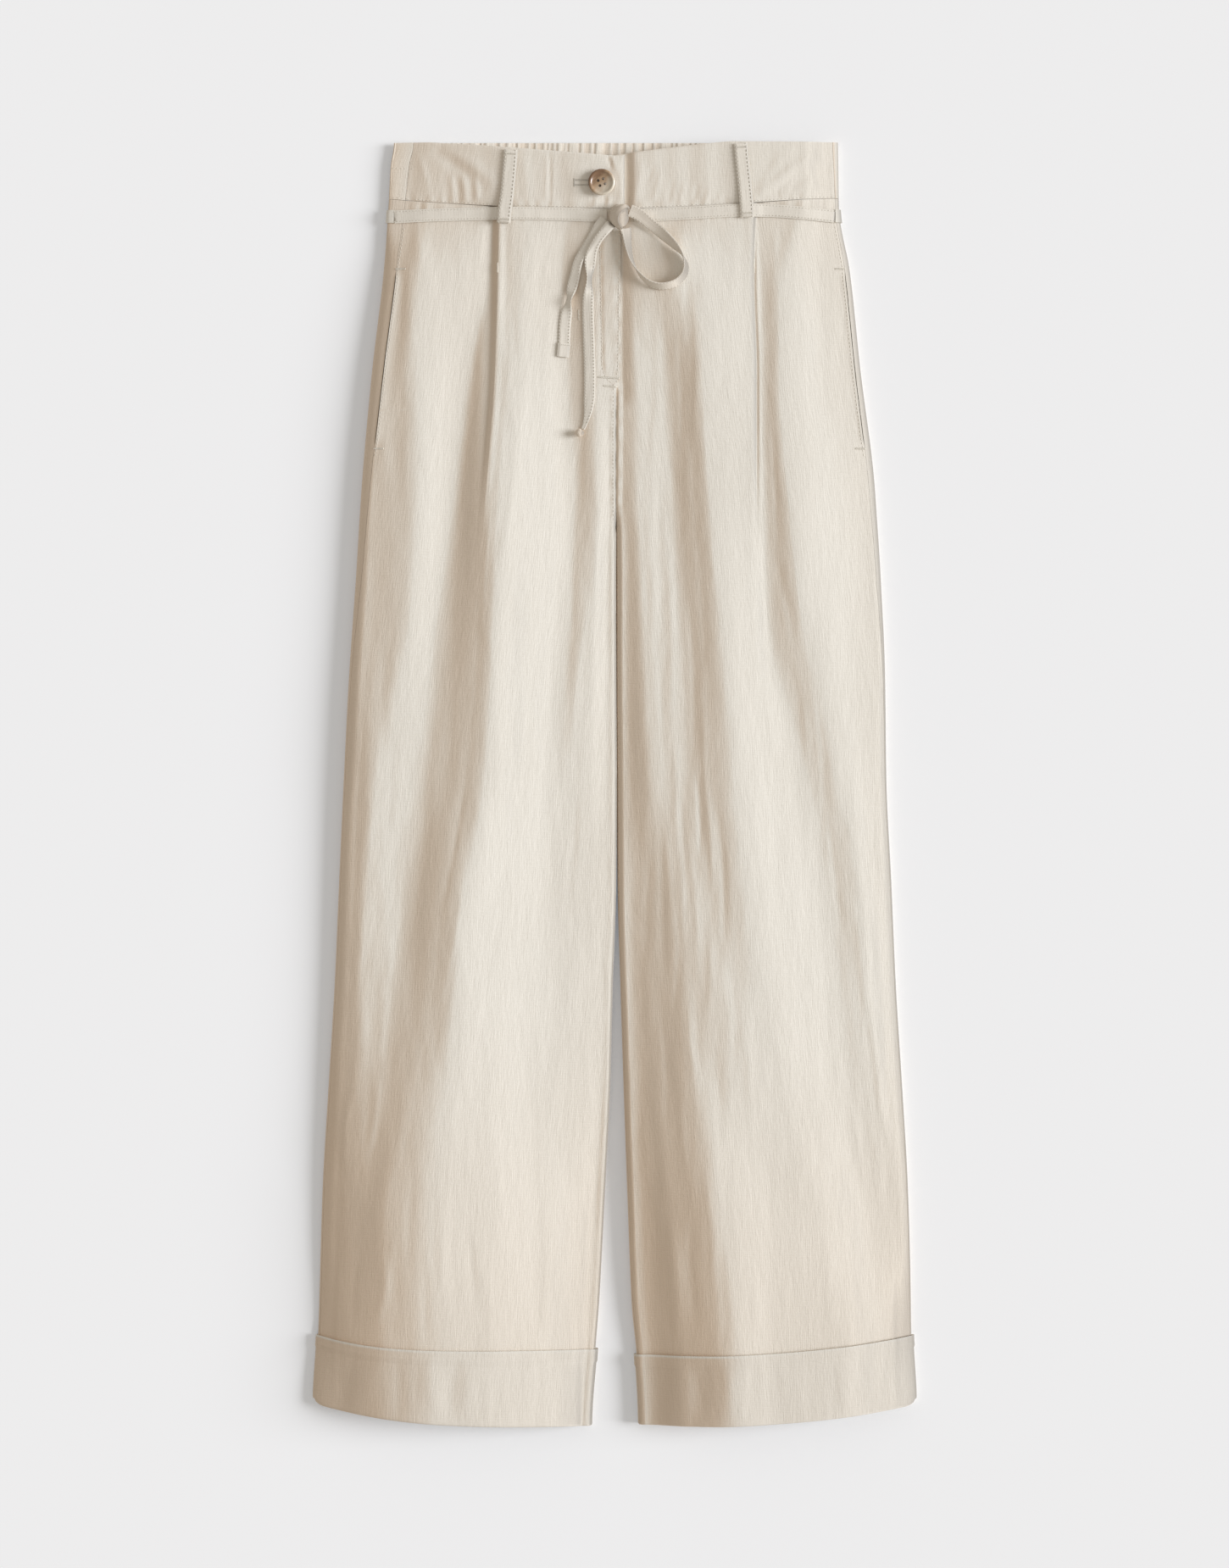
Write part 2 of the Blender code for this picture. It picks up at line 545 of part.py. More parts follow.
# ---------------------------------------------------------------- pieces that lie on the cloth
def tree_of(things):
    """One search tree of the triangles of several objects."""
    points, faces = [], []
    for thing in things:
        base = len(points)
        points += [v.co.copy() for v in thing.data.vertices]
        faces += [tuple(base + i for i in f.vertices) for f in thing.data.polygons]
    return BVHTree.FromPolygons(points, faces)


def height_on(tree, x, y, spread):
    """Highest cloth within a small square round a place."""
    best = 0.0
    for dx in (-spread, 0.0, spread):
        for dy in (-spread, 0.0, spread):
            hit = tree.ray_cast(Vector((x + dx, y + dy, 0.1)), Vector((0, 0, -1)))[0]
            if hit is not None:
                best = max(best, hit.z)
    return best


def curve_through(points, step):
    """Even points along a smooth curve through the given points."""
    points = [Vector(p) for p in points]
    points = [2 * points[0] - points[1]] + points + [2 * points[-1] - points[-2]]
    dense = []
    for a, b, c, d in zip(points, points[1:], points[2:], points[3:]):
        for k in range(12):
            t = k / 12
            dense.append(0.5 * (2 * b + (c - a) * t + (2 * a - 5 * b + 4 * c - d) * t * t
                                + (3 * b - a - 3 * c + d) * t ** 3))
    dense.append(points[-2])
    lengths = [0.0]
    for a, b in zip(dense, dense[1:]):
        lengths.append(lengths[-1] + (b - a).length)
    count = max(2, round(lengths[-1] / step))
    result, index = [], 0
    for k in range(count + 1):
        goal = lengths[-1] * k / count
        while index < len(lengths) - 2 and lengths[index + 1] < goal:
            index += 1
        share = (goal - lengths[index]) / (lengths[index + 1] - lengths[index])
        result.append(dense[index].lerp(dense[index + 1], share))
    return result


def ribbon_loops(path, width, thickness):
    """Six-cornered rings along a path of (centre, tilt); tilt turns the ribbon on its edge."""
    loops = []
    for k, (centre, tilt) in enumerate(path):
        before = path[max(0, k - 1)][0]
        after = path[min(len(path) - 1, k + 1)][0]
        ahead = (after - before).normalized()
        flat = Vector((-ahead.y, ahead.x, 0.0)).normalized()
        lean = (flat * math.cos(tilt) + Vector((0, 0, 1)) * math.sin(tilt)).normalized()
        up = ahead.cross(lean).normalized()
        half = lean * (0.5 * width)
        rise = up * (0.5 * thickness)
        loops.append([centre - half - rise, centre - rise, centre + half - rise,
                      centre + half + rise, centre + rise, centre - half + rise])
    return loops


def draped_loops(tree, route, width, thickness, gap, step=6.0 * MM):
    """Rings of a ribbon that lies on the cloth under it, its two edges and middle each on it."""
    line = curve_through(route, step)
    raw = []
    for k, centre in enumerate(line):
        ahead = (line[min(len(line) - 1, k + 1)] - line[max(0, k - 1)]).normalized()
        side = Vector((-ahead.y, ahead.x, 0.0)) * (0.5 * width)
        raw.append([(p, height_on(tree, p.x, p.y, 0.55 * step) + gap)
                    for p in (centre - side, centre, centre + side)])
    loops = []
    for k, stations in enumerate(raw):
        before, after = raw[max(0, k - 1)], raw[min(len(raw) - 1, k + 1)]
        low, high = [], []
        for n, (p, z) in enumerate(stations):
            eased = max(z, 0.5 * z + 0.25 * (before[n][1] + after[n][1]))
            low.append(Vector((p.x, p.y, eased + p.z)))
            high.append(Vector((p.x, p.y, eased + p.z + thickness)))
        loops.append(low + high[::-1])
    return loops


BACK_LOOP_X = 92 * MM       # the two outer back loops, from the centre back
BACK_LOOP_ENDS = (448.5 * MM, 505 * MM)
BACK_LOOP_SEWN = 14 * MM    # length sewn flat to the back waistband
BACK_LOOP_FLAT = 18 * MM    # length that lies under the tie
BACK_LOOP_CLOTH = 0.8 * MM
BELT_SIDE = 172.6 * MM      # the back run of the tie ends here, on top of the side edge
KNOT_CENTRE = (4.6 * MM, 458.6 * MM)
KNOT_SIZE = (8.6 * MM, 10.2 * MM, 4.3 * MM)     # half width, half length, half height
KNOT_WRAP = (0.13, 0.34)    # swell and share of the turn that wraps over the knot
END_KNOT_CENTRE = (-28.4 * MM, 283.6 * MM)
END_KNOT_SIZE = (3.6 * MM, 3.2 * MM, 2.4 * MM)
# Routes of the tie, in mm on the cloth.
BELT_ROUTE = {
    "right": ((-172, 459.2), (-140, 460.3), (-94, 461.2), (-50, 460.6), (-20, 459.4), (-6.2, 459.2)),
    "left": ((172, 459.6), (150, 461.5), (100, 464.0), (60, 462.0), (32, 460.6), (15.4, 460.6)),
}
SHORT_TAIL = ((-6.6, 451.8), (-14.4, 446.5), (-27, 426), (-35.5, 398), (-39, 379), (-41.2, 357),
              (-41.9, 345.4))
LONG_TAIL = ((0.2, 445.4), (-9.6, 440.5), (-19.5, 420), (-21.2, 394), (-20.3, 365), (-19, 335),
             (-19.5, 312), (-22.6, 291), (-25.6, 287.5))
# Bow loop in mm: x, y, height of its middle above the cloth, and its lean in degrees.
BOW_ROUTE = ((15.8, 465.0, 6.2, 0), (23, 461, 5.8, -10), (34, 451, 5.2, -22), (46, 437.5, 5.4, -38),
             (54.5, 425, 5.6, -55), (57.5, 414, 6.0, -64), (52.5, 404.8, 6.0, -66),
             (41, 400.2, 6.0, -68), (28, 402, 6.0, -68), (18.5, 412, 5.8, -64),
             (13.2, 426, 5.2, -50), (10.2, 438, 5.0, -35), (8.0, 446.8, 4.8, -22))


def belt_front(side, tree):
    route = [(x * MM, y * MM, 0.0) for x, y in BELT_ROUTE[side]]
    loops = draped_loops(tree, route, BELT_WIDTH, BELT_CLOTH, 0.45 * MM)
    return loop_stack("tie_belt_front_" + side, loops, LINEN)


def belt_back():
    """The tie belt round both side edges and across under the back."""
    def half(side, y):
        cut = section(side, y)
        outer, _ = back_points(cut, CLOTH, 5, 1, 1)
        start = (BELT_SIDE, top_height(cut, BELT_SIDE))
        ring = [start] + [p for p in outer[:7] if p[0] > start[0] + 1.5 * MM or p[1] < 4 * MM]
        normals = inward_normals(ring)
        reach = BELT_GAP + BELT_CLOTH
        near = [(p[0] - n[0] * BELT_GAP, p[1] - n[1] * BELT_GAP) for p, n in zip(ring, normals)]
        far = [(p[0] - n[0] * reach, p[1] - n[1] * reach) for p, n in zip(ring, normals)]
        sign = cut["sign"]
        return [[(sign * p[0], y, p[1]) for p in row[:-1]] for row in (near, far)]

    low, high = BELT_Y - 0.5 * BELT_WIDTH, BELT_Y + 0.5 * BELT_WIDTH
    loops = []
    for side, order in (("left", 1), ("right", -1)):
        near_low, far_low = half(side, low)
        near_high, far_high = half(side, high)
        loops += [list(ring) for ring in zip(near_low, near_high, far_high, far_low)][::order]
    return loop_stack("tie_belt_back", loops, LINEN)


def front_loop(side, tree, x_top, x_low, y_top, y_low):
    """A belt loop: sewn on the band above, over the tie, sewn on the panel below."""
    top, low = Vector((x_top * MM, y_top * MM, 0.0)), Vector((x_low * MM, y_low * MM, 0.0))
    route = [top, 0.5 * (top + low), low]
    loops = draped_loops(tree, route, LOOP_WIDTH, CLOTH, 0.4 * MM, 4.2 * MM)
    return loop_stack("belt_loop_front_" + side, loops, LINEN)


def back_loop(name, x):
    """A belt loop under the back: below the tie, its two ends lifted to the band and panel."""
    low, high = BACK_LOOP_ENDS
    top = under_lift(high) - SEAM
    sewn = high - BACK_LOOP_SEWN
    flat = 0.5 * BACK_LOOP_FLAT
    profile = ((low, top - 0.5 * MM), (low, top - 0.5 * MM - CLOTH), (BELT_Y - flat, 0.0),
               (BELT_Y + flat, 0.0), (sewn, top - CLOTH), (high, top - CLOTH), (high, top), (sewn, top),
               (BELT_Y + flat - 1 * MM, BACK_LOOP_CLOTH), (BELT_Y - flat + 1 * MM, BACK_LOOP_CLOTH))
    loops = [[(x + s * 0.5 * LOOP_WIDTH, y, z) for y, z in profile] for s in (-1, 1)]
    return loop_stack(name, loops, LINEN_SHADE)


def knot(tree):
    """The knot: a squat round lump with a band of the ribbon wrapped over it."""
    base = height_on(tree, KNOT_CENTRE[0], KNOT_CENTRE[1], 8 * MM) + 0.4 * MM
    wide, long, tall = KNOT_SIZE
    steps, turns = 7, 16
    rings = []
    for k in range(1, steps):
        up = -0.5 * math.pi + math.pi * k / steps
        ring = []
        for n in range(turns):
            around = 2 * math.pi * n / turns
            wrap = 1.0 + KNOT_WRAP[0] * math.exp(-(math.cos(around + 0.5) / KNOT_WRAP[1]) ** 2)
            ring.append((KNOT_CENTRE[0] + wide * math.cos(up) * math.cos(around),
                         KNOT_CENTRE[1] + 0.93 * long * math.cos(up) * math.sin(around) * wrap,
                         base + tall * (1 + math.sin(up) * (wrap if up > 0 else 1.0))))
        rings.append(ring)
    return loop_stack("tie_knot", rings, LINEN)


def bow(tree):
    """The bow loop stands on its lower edge at the bottom and lies over at the top."""
    route = curve_through([(x * MM, y * MM, h * MM) for x, y, h, _ in BOW_ROUTE], 5.0 * MM)
    leans = track([(k, math.radians(row[3])) for k, row in enumerate(BOW_ROUTE)])
    path = []
    for k, point in enumerate(route):
        tilt = leans(k * (len(BOW_ROUTE) - 1) / (len(route) - 1))
        half = 0.5 * BELT_WIDTH * abs(math.sin(tilt))
        ground = height_on(tree, point.x, point.y, 4.5 * MM)
        path.append((Vector((point.x, point.y, ground + max(half + 1.2 * MM, point.z))), tilt))
    return loop_stack("tie_bow_loop", ribbon_loops(path, BELT_WIDTH, BELT_CLOTH * 1.2), LINEN)


def tail(name, tree, route, width):
    line = [(x * MM, y * MM, 0.0) for x, y in route]
    return loop_stack(name, draped_loops(tree, line, width, BELT_CLOTH, 0.45 * MM), LINEN)


def end_knot(tree):
    """The small knot in the end of the long tail."""
    x, y = END_KNOT_CENTRE
    wide, long, tall = END_KNOT_SIZE
    base = height_on(tree, x, y, 3.5 * MM) + 0.4 * MM
    steps, turns = 6, 10
    rings = []
    for k in range(1, steps):
        up = -0.5 * math.pi + math.pi * k / steps
        rings.append([(x + wide * math.cos(up) * math.cos(a), y + long * math.cos(up) * math.sin(a),
                       base + tall * (1 + math.sin(up)))
                      for a in (2 * math.pi * n / turns for n in range(turns))])
    return loop_stack("tie_end_knot", rings, LINEN)


# The button's section in mm: distance from its axis, height.
BUTTON_PROFILE = ((0.0, 0.0), (6.5, 0.0), (9.6, 0.9), (10.7, 1.9), (10.3, 2.8), (9.4, 3.1), (8.4, 2.8),
                  (7.2, 2.1), (0.0, 2.0))
BUTTON_PLACE = (-10.4 * MM, 485.7 * MM)
BUTTON_SHANK = 1.2 * MM     # thread between button and cloth
HOLE_RADIUS = 0.85 * MM
HOLE_REACH = 2.4 * MM       # of the holes from the button's axis


def button(tree):
    """A four-hole button with a raised rim."""
    x, y = BUTTON_PLACE
    base = height_on(tree, x, y, 7 * MM) + BUTTON_SHANK
    bm = bmesh.new()
    points = [bm.verts.new((x + r * MM, y, base + z * MM)) for r, z in BUTTON_PROFILE]
    for a, b in zip(points, points[1:]):
        bm.edges.new((a, b))
    bmesh.ops.spin(bm, geom=bm.verts[:] + bm.edges[:], cent=(x, y, base), axis=(0, 0, 1),
                   angle=2 * math.pi, steps=24)
    bmesh.ops.remove_doubles(bm, verts=bm.verts[:], dist=0.01 * MM)
    thing = add_object("waist_button", bm, HORN, 0.35)
    for k in range(4):
        turn = math.pi * (0.25 + 0.5 * k)
        bpy.ops.mesh.primitive_cylinder_add(
            vertices=10, radius=HOLE_RADIUS, depth=8 * MM,
            location=(x + HOLE_REACH * math.cos(turn), y + HOLE_REACH * math.sin(turn), base + 1 * MM))
        cutter = bpy.context.object
        cutter.name = "button_hole_cutter_%d" % k
        cutter.hide_render = True
        cutter.display_type = "WIRE"
        hole = thing.modifiers.new("hole_%d" % k, "BOOLEAN")
        hole.object = cutter
        hole.solver = "EXACT"
    return thing


POCKET_BAG = (215 * MM, 432 * MM)               # lower and upper end of the bag
POCKET_DEPTH = 110 * MM     # across, from the mouth inwards
POCKET_CLOTH = 1.6 * MM     # both layers, pressed
POCKET_GAP = 0.5 * MM       # under the front panel


def cloth_over(tree, x, y):
    """The lowest cloth above a place and its neighbourhood."""
    best = 1.0
    for dx in (-9 * MM, -6 * MM, -3 * MM, 0.0, 3 * MM, 6 * MM, 9 * MM):
        for dy in (-20 * MM, -10 * MM, 0.0, 10 * MM, 20 * MM):
            hit = tree.ray_cast(Vector((x + dx, y + dy, 0.0)), Vector((0, 0, 1)))[0]
            if hit is not None:
                best = min(best, hit.z)
    return best


def pocket(side, tree):
    """The pocket bag inside the leg: its two layers pressed together under the front panel."""
    sign = dict(SIDES)[side]
    lower, upper = POCKET_BAG
    steps, columns = 6, 8
    top_rows, low_rows = [], []
    for k in range(steps + 1):
        y = upper + (lower - upper) * k / steps
        start = section(side, y)["seam"] - 3.0 * MM
        top, low = [], []
        for n in range(columns + 1):
            x = sign * (start - POCKET_DEPTH * n / columns)
            z = cloth_over(tree, x, y) - POCKET_GAP
            top.append((x, y, z))
            low.append((x, y, z - POCKET_CLOTH))
        top_rows.append(top)
        low_rows.append(low)
    return wall("pocket_bag_" + side, top_rows, low_rows, LINEN_SHADE)


def build():
    for thing in list(bpy.data.objects):
        bpy.data.objects.remove(thing, do_unlink=True)
    fronts = {side: front_panel(side) for side, _ in SIDES}
    backs = {side: back_panel(side) for side, _ in SIDES}
    bands = {side: front_band(side) for side, _ in SIDES}
    elastic = back_band()
    for side, _ in SIDES:
        cuff(side)
        pocket(side, tree_of([fronts[side]]))
    cloth = list(fronts.values()) + list(backs.values()) + list(bands.values()) + [elastic]
    top = tree_of(cloth)
    belts = [belt_front(side, top) for side, _ in SIDES]
    belt_back()
    over_belt = tree_of(cloth + belts)
    front_loop("right", over_belt, -84.2, -89.2, 511.6, 453.8)
    front_loop("left", over_belt, 102.3, 106.6, 517.0, 458.2)
    back_loop("belt_loop_back_right", -BACK_LOOP_X)
    back_loop("belt_loop_back_centre", 0.0)
    back_loop("belt_loop_back_left", BACK_LOOP_X)
    knot(top)
    short = tail("tie_tail_short", tree_of(cloth + belts), SHORT_TAIL, BELT_WIDTH)
    tail("tie_tail_long", tree_of(cloth + belts + [short]), LONG_TAIL, BELT_WIDTH * 0.9)
    bow(tree_of(cloth + belts))
    end_knot(top)
    button(top)


build()
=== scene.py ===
import math

import bmesh
import bpy
import numpy as np
from mathutils import Matrix, Vector
from mathutils.bvhtree import BVHTree


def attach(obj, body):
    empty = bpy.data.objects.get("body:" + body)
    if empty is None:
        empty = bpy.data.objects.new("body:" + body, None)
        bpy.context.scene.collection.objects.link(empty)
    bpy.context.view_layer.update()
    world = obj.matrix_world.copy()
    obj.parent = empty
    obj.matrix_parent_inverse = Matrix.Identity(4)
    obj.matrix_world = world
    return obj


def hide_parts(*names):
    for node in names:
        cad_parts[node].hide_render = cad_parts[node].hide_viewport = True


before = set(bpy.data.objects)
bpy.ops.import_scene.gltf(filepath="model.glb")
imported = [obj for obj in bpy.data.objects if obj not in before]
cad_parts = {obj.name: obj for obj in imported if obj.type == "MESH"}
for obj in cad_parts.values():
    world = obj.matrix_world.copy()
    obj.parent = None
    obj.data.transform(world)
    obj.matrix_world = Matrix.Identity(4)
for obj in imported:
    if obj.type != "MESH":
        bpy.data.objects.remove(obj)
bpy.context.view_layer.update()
mm = 0.001
scene = bpy.context.scene
print("frame loaded,", len(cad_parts), "nodes")


def addObject(name, data):
    thing = bpy.data.objects.new(name, data)
    scene.collection.objects.link(thing)
    return thing


# the mesh of an object with its modifiers worked in
def evaluatedMesh(thing):
    depsgraph = bpy.context.evaluated_depsgraph_get()
    depsgraph.update()
    return bpy.data.meshes.new_from_object(thing.evaluated_get(depsgraph))


# camera, straight above the middle of the garment
cameraSettings = {"height": 3.0035, "lens": 85.0, "sensor": 36.0}
cameraData = bpy.data.cameras.new("overheadCamera")
cameraData.lens = cameraSettings["lens"]
cameraData.sensor_width = cameraSettings["sensor"]
cameraData.dof.use_dof = False
camera = addObject("overheadCamera", cameraData)
camera.location = (0.0, 0.0, cameraSettings["height"])
scene.camera = camera


# 0 below low, 1 above high, smooth between; a low that lies above high turns it round
def ease(low, high, value):
    share = np.clip((np.asarray(value, float) - low) / (high - low), 0.0, 1.0)
    return share * share * (3.0 - 2.0 * share)


# 1 at a place, falling away to both sides
def hump(value, place, width):
    return np.exp(-((value - place) / width) ** 2)


# uneven waves, as sewing draws into cloth
def ripple(value, pitch, wander, drift):
    return np.sin(value / pitch + drift * np.sin(value / wander))


# smooth curve through (place, value) knots that never overshoots them
def softCurve(knots, endSlope=0.0, startSlope=0.0):
    knots = sorted(knots)
    xs = np.array([k[0] for k in knots], float)
    ys = np.array([k[1] for k in knots], float)
    steps = np.diff(ys) / np.diff(xs)
    slopes = np.zeros(len(xs))
    for i in range(1, len(xs) - 1):
        if steps[i - 1] * steps[i] > 0.0:
            slopes[i] = 2.0 * steps[i - 1] * steps[i] / (steps[i - 1] + steps[i])
    slopes[-1] = endSlope * steps[-1]
    slopes[0] = startSlope * steps[0]

    def value(x):
        x = np.asarray(x, float)
        i = np.clip(np.searchsorted(xs, x, side="right") - 1, 0, len(xs) - 2)
        width = xs[i + 1] - xs[i]
        t = np.clip((x - xs[i]) / width, 0.0, 1.0)
        rise = (2 * t - 3) * t * t
        return (ys[i] * (1 + rise) - ys[i + 1] * rise
                + slopes[i] * width * t * (1 - t) ** 2 - slopes[i + 1] * width * t * t * (1 - t))
    return value


# smooth random field over the cloth, about -1 to 1, with cells of the given size
def crumpleField(seed, cellAcross, cellAlong):
    grid = np.random.default_rng(seed).uniform(-1.0, 1.0, (256, 256))

    def value(across, along):
        u, v = np.broadcast_arrays(np.asarray(across) / cellAcross + 90.0,
                                   np.asarray(along) / cellAlong + 90.0)
        iu, iv = np.floor(u).astype(int), np.floor(v).astype(int)
        fu, fv = u - iu, v - iv

        def taps(f):
            return ((1 - f) ** 3 / 6, (3 * f ** 3 - 6 * f ** 2 + 4) / 6,
                    (-3 * f ** 3 + 3 * f ** 2 + 3 * f + 1) / 6, f ** 3 / 6)
        total = np.zeros(u.shape)
        for a, wa in enumerate(taps(fv)):
            for b, wb in enumerate(taps(fu)):
                total += wa * wb * grid[(iv + a) % 256, (iu + b) % 256]
        return total * 2.0
    return value


# sections across each leg, in mm: y, height of the outer edge, place outwards from the centre line and
# height of each fold, height at the centre
foldNames = ("outerRidge", "pleatValley", "pleatEdge", "mainRidge", "shoulder", "middleValley", "innerRidge")
sectionColumns = ("y", "outerEdgeZ", *(name + end for name in foldNames for end in ("", "Z")), "centreZ")
legSections = {
    "right": (
        (519, 5.4, 151, 7.6, 128, 9, 110, 10.2, 84, 11.7, 55, 11.8, 38, 12.2, 18, 12.6, 12.4),
        (474, 5.6, 150, 7.8, 100, 9.9, 94, 11.2, 77, 12.2, 58, 12, 39, 11.4, 18, 12, 12.2),
        (408, 9.8, 158, 12.4, 104, 10.5, 95, 12.2, 77, 12.6, 57, 11.2, 42, 10.4, 16, 13, 13.8),
        (333, 11.6, 158, 14.4, 117, 11.6, 97, 15.8, 85, 16.5, 57, 14.2, 38, 12.4, 14, 14.4, 14.2),
        (223, 12.6, 160, 16.2, 130, 13.8, 105, 19.8, 94, 20.6, 58, 16.2, 33, 13, 14, 14.8, 13.6),
        (127, 12.6, 168, 16.2, 143, 14.4, 112, 20, 98, 22.2, 65, 17.4, 40, 14.2, 18, 14.6, 13),
        (17, 13, 190, 15.8, 156, 15, 120, 20, 103, 22.2, 70, 17.6, 50, 14.8, 20, 13.8, 12.5),
        (-93, 12.2, 200, 14.6, 172, 14.8, 140, 20, 121, 22.2, 89, 18.6, 50, 13.4, 20, 12.6, 12),
        (-189, 11.6, 206, 14.4, 180, 16.4, 152, 20.8, 131, 23, 100, 20.6, 58, 15, 20, 12.6, 11.8),
        (-278, 10.8, 213, 14, 190, 18.5, 168, 22.6, 145, 24.4, 109, 22.2, 63, 16.4, 24, 12.7, 11.4),
        (-360, 9.4, 219, 12.4, 203, 17.3, 185, 22, 150, 25.4, 110, 23.6, 64, 18.2, 28, 12.8, 10.8),
        (-453, 7.4, 224, 10, 204, 16.4, 180, 21.2, 146, 23.8, 104, 22.2, 64, 18, 32, 12.4, 10.4),
    ),
    "left": (
        (519, 8.4, 152, 11.4, 128, 12, 110, 12.4, 78, 12.8, 58, 12.4, 41, 12, 18, 12.4, 12.4),
        (474, 8.4, 151, 11, 116, 10.6, 112, 12.6, 77, 12.8, 59, 12.2, 41, 11.4, 18, 12, 12.2),
        (408, 10.6, 133, 14.8, 118, 13.4, 111, 14.5, 72, 16.8, 52, 17.2, 36, 15.9, 16, 14.3, 13.8),
        (333, 11.6, 133, 17.2, 119, 15.6, 113, 16.4, 72, 19.3, 57, 17.3, 38, 14.7, 18, 15.1, 14.2),
        (223, 12.1, 141, 19.1, 121, 17.1, 113, 17.9, 77, 19.7, 63, 17.5, 46, 14.9, 20, 15.4, 13.6),
        (127, 12.4, 152, 17.8, 125, 15.8, 112, 17.8, 85, 20, 70, 18, 50, 15.5, 24, 15.4, 12.8),
        (17, 12.8, 175, 16.3, 153, 15.6, 128, 17.8, 95, 21.1, 74, 19.2, 58, 17.2, 28, 16, 12),
        (-93, 12.6, 198, 15, 175, 14.7, 142, 18, 104, 21.5, 80, 20.1, 58, 19, 35, 15.4, 11.6),
        (-189, 12.6, 206, 14.9, 182, 15.3, 156, 18.2, 122, 21.7, 92, 22.1, 60, 20.6, 36, 15.7, 11.4),
        (-278, 12.6, 216, 13.6, 192, 14.4, 165, 17.7, 142, 20.2, 105, 21.7, 76, 22.9, 40, 17, 11.2),
        (-360, 12.1, 223, 12.5, 208, 13.5, 188, 16.7, 165, 20.1, 125, 22.7, 88, 25.2, 50, 18.9, 10.6),
        (-453, 10.4, 225, 12.2, 210, 15.3, 190, 18.8, 165, 20.2, 128, 22, 98, 24, 58, 17, 7.4),
    ),
}
# outline in mm: reach of the outer edges, place of the inner edges, side seams in from the edge
outlineColumns = ("y", "rightOuter", "rightInner", "rightSeam", "leftInner", "leftOuter", "leftSeam")
outline = (
    (519, -178.7, 1.2, 16, 1.2, 181, 4.5),
    (500, -181.4, 1.2, 15, 1.2, 181.3, 4),
    (466, -183.2, 1.2, 13, 1.2, 181.8, 3),
    (415, -187, 1.2, 10.3, 1.2, 190.5, 4.2),
    (333, -196.5, 1.55, 9.5, 1.2, 199.3, 4.5),
    (250, -204, 1.6, 7.5, 0.85, 209.8, 5.2),
    (215, -206.4, 2.05, 6.4, 0.4, 212.4, 4.7),
    (168, -209.3, 1.6, 5, 0.85, 215.4, 4),
    (86, -215, 1.8, 2, 1, 219, 2),
    (4, -219.2, 2.2, 1.4, 1.4, 220, 1.4),
    (-79, -223, 1.75, 1.4, 2.05, 224, 1.4),
    (-161, -226.6, -1, 1.4, 4.4, 227.6, 1.4),
    (-243, -231.5, -3.1, 1.4, 7, 232.7, 1.4),
    (-326, -236.4, -7.2, 1.4, 9.9, 237.4, 1.4),
    (-408, -239, -12, 1.4, 13.6, 239.8, 1.4),
    (-446, -240.2, -15.2, 1.4, 17.6, 240.4, 1.4),
    (-502, -243, -19.4, 1.4, 20.4, 243, 1.4),
)
trousers = {
    "cloth": 0.8 * mm, "seam": 0.18 * mm, "waistSeamY": 474 * mm, "waistTopY": 519.3 * mm,
    "panelTopY": 473.7 * mm, "cuffTopY": -445.8 * mm, "hemY": -501.8 * mm, "panelEndY": -462 * mm,
    "edgeRoll": 10.5 * mm, "inseamRoll": 6.0 * mm, "inseamLip": 1.2 * mm, "mouthGape": 0.5 * mm,
    "waistReach": 183 * mm, "flyLap": 4.9 * mm, "flyUnder": -3.0 * mm, "flyBottom": (318 * mm, 330 * mm),
    "lapDrop": 0.95 * mm, "lapDropEnd": (301 * mm, 317 * mm), "crotchTurn": (200 * mm, 229 * mm),
    "pocketMouth": (272 * mm, 416 * mm), "underFlap": 3.6 * mm,
    "beltLift": (2.6 * mm, 436 * mm, 446 * mm), "cuffLift": (1.5 * mm, -428 * mm, -444 * mm),
    "litTurn": 4.5, "shadeTurn": 2.0, "squarerFrom": (425 * mm, 462 * mm), "mouthEnds": 8 * mm,
    "edgeSlope": 0.85, "innerSlope": 1.3, "leastSeam": 1.3 * mm, "sagBelowWaist": 396 * mm, "sagAboveCuff": -330 * mm,
    "rowStep": 3.2 * mm, "frontSplits": (4, 10, 14, 9, 14, 15, 15, 16, 10, 10),
}
waistSeamSag = {"right": (9.0, 1.0), "left": (9.0, 1.7)}
waistTopDip = {"right": (11.6, 1.1, 150.0), "left": (11.0, 1.2, 95.0)}
cuffTopSag = {"right": (11.0, 5.0), "left": (15.6, 2.5)}
hemSag = {"right": (17.0, 3.0), "left": (16.6, 2.6)}
sides = {"right": -1, "left": 1}


def tableCurves(columns, rows):
    return {name: softCurve([(row[0] * mm, row[index] * mm) for row in rows])
            for index, name in enumerate(columns)}


sectionCurves = {side: tableCurves(sectionColumns, legSections[side]) for side in sides}
edgeCurves = tableCurves(outlineColumns, outline)


def underLift(y):
    belt, cuff = trousers["beltLift"], trousers["cuffLift"]
    return float(belt[0] * ease(belt[1], belt[2], y) + cuff[0] * ease(cuff[1], cuff[2], y))


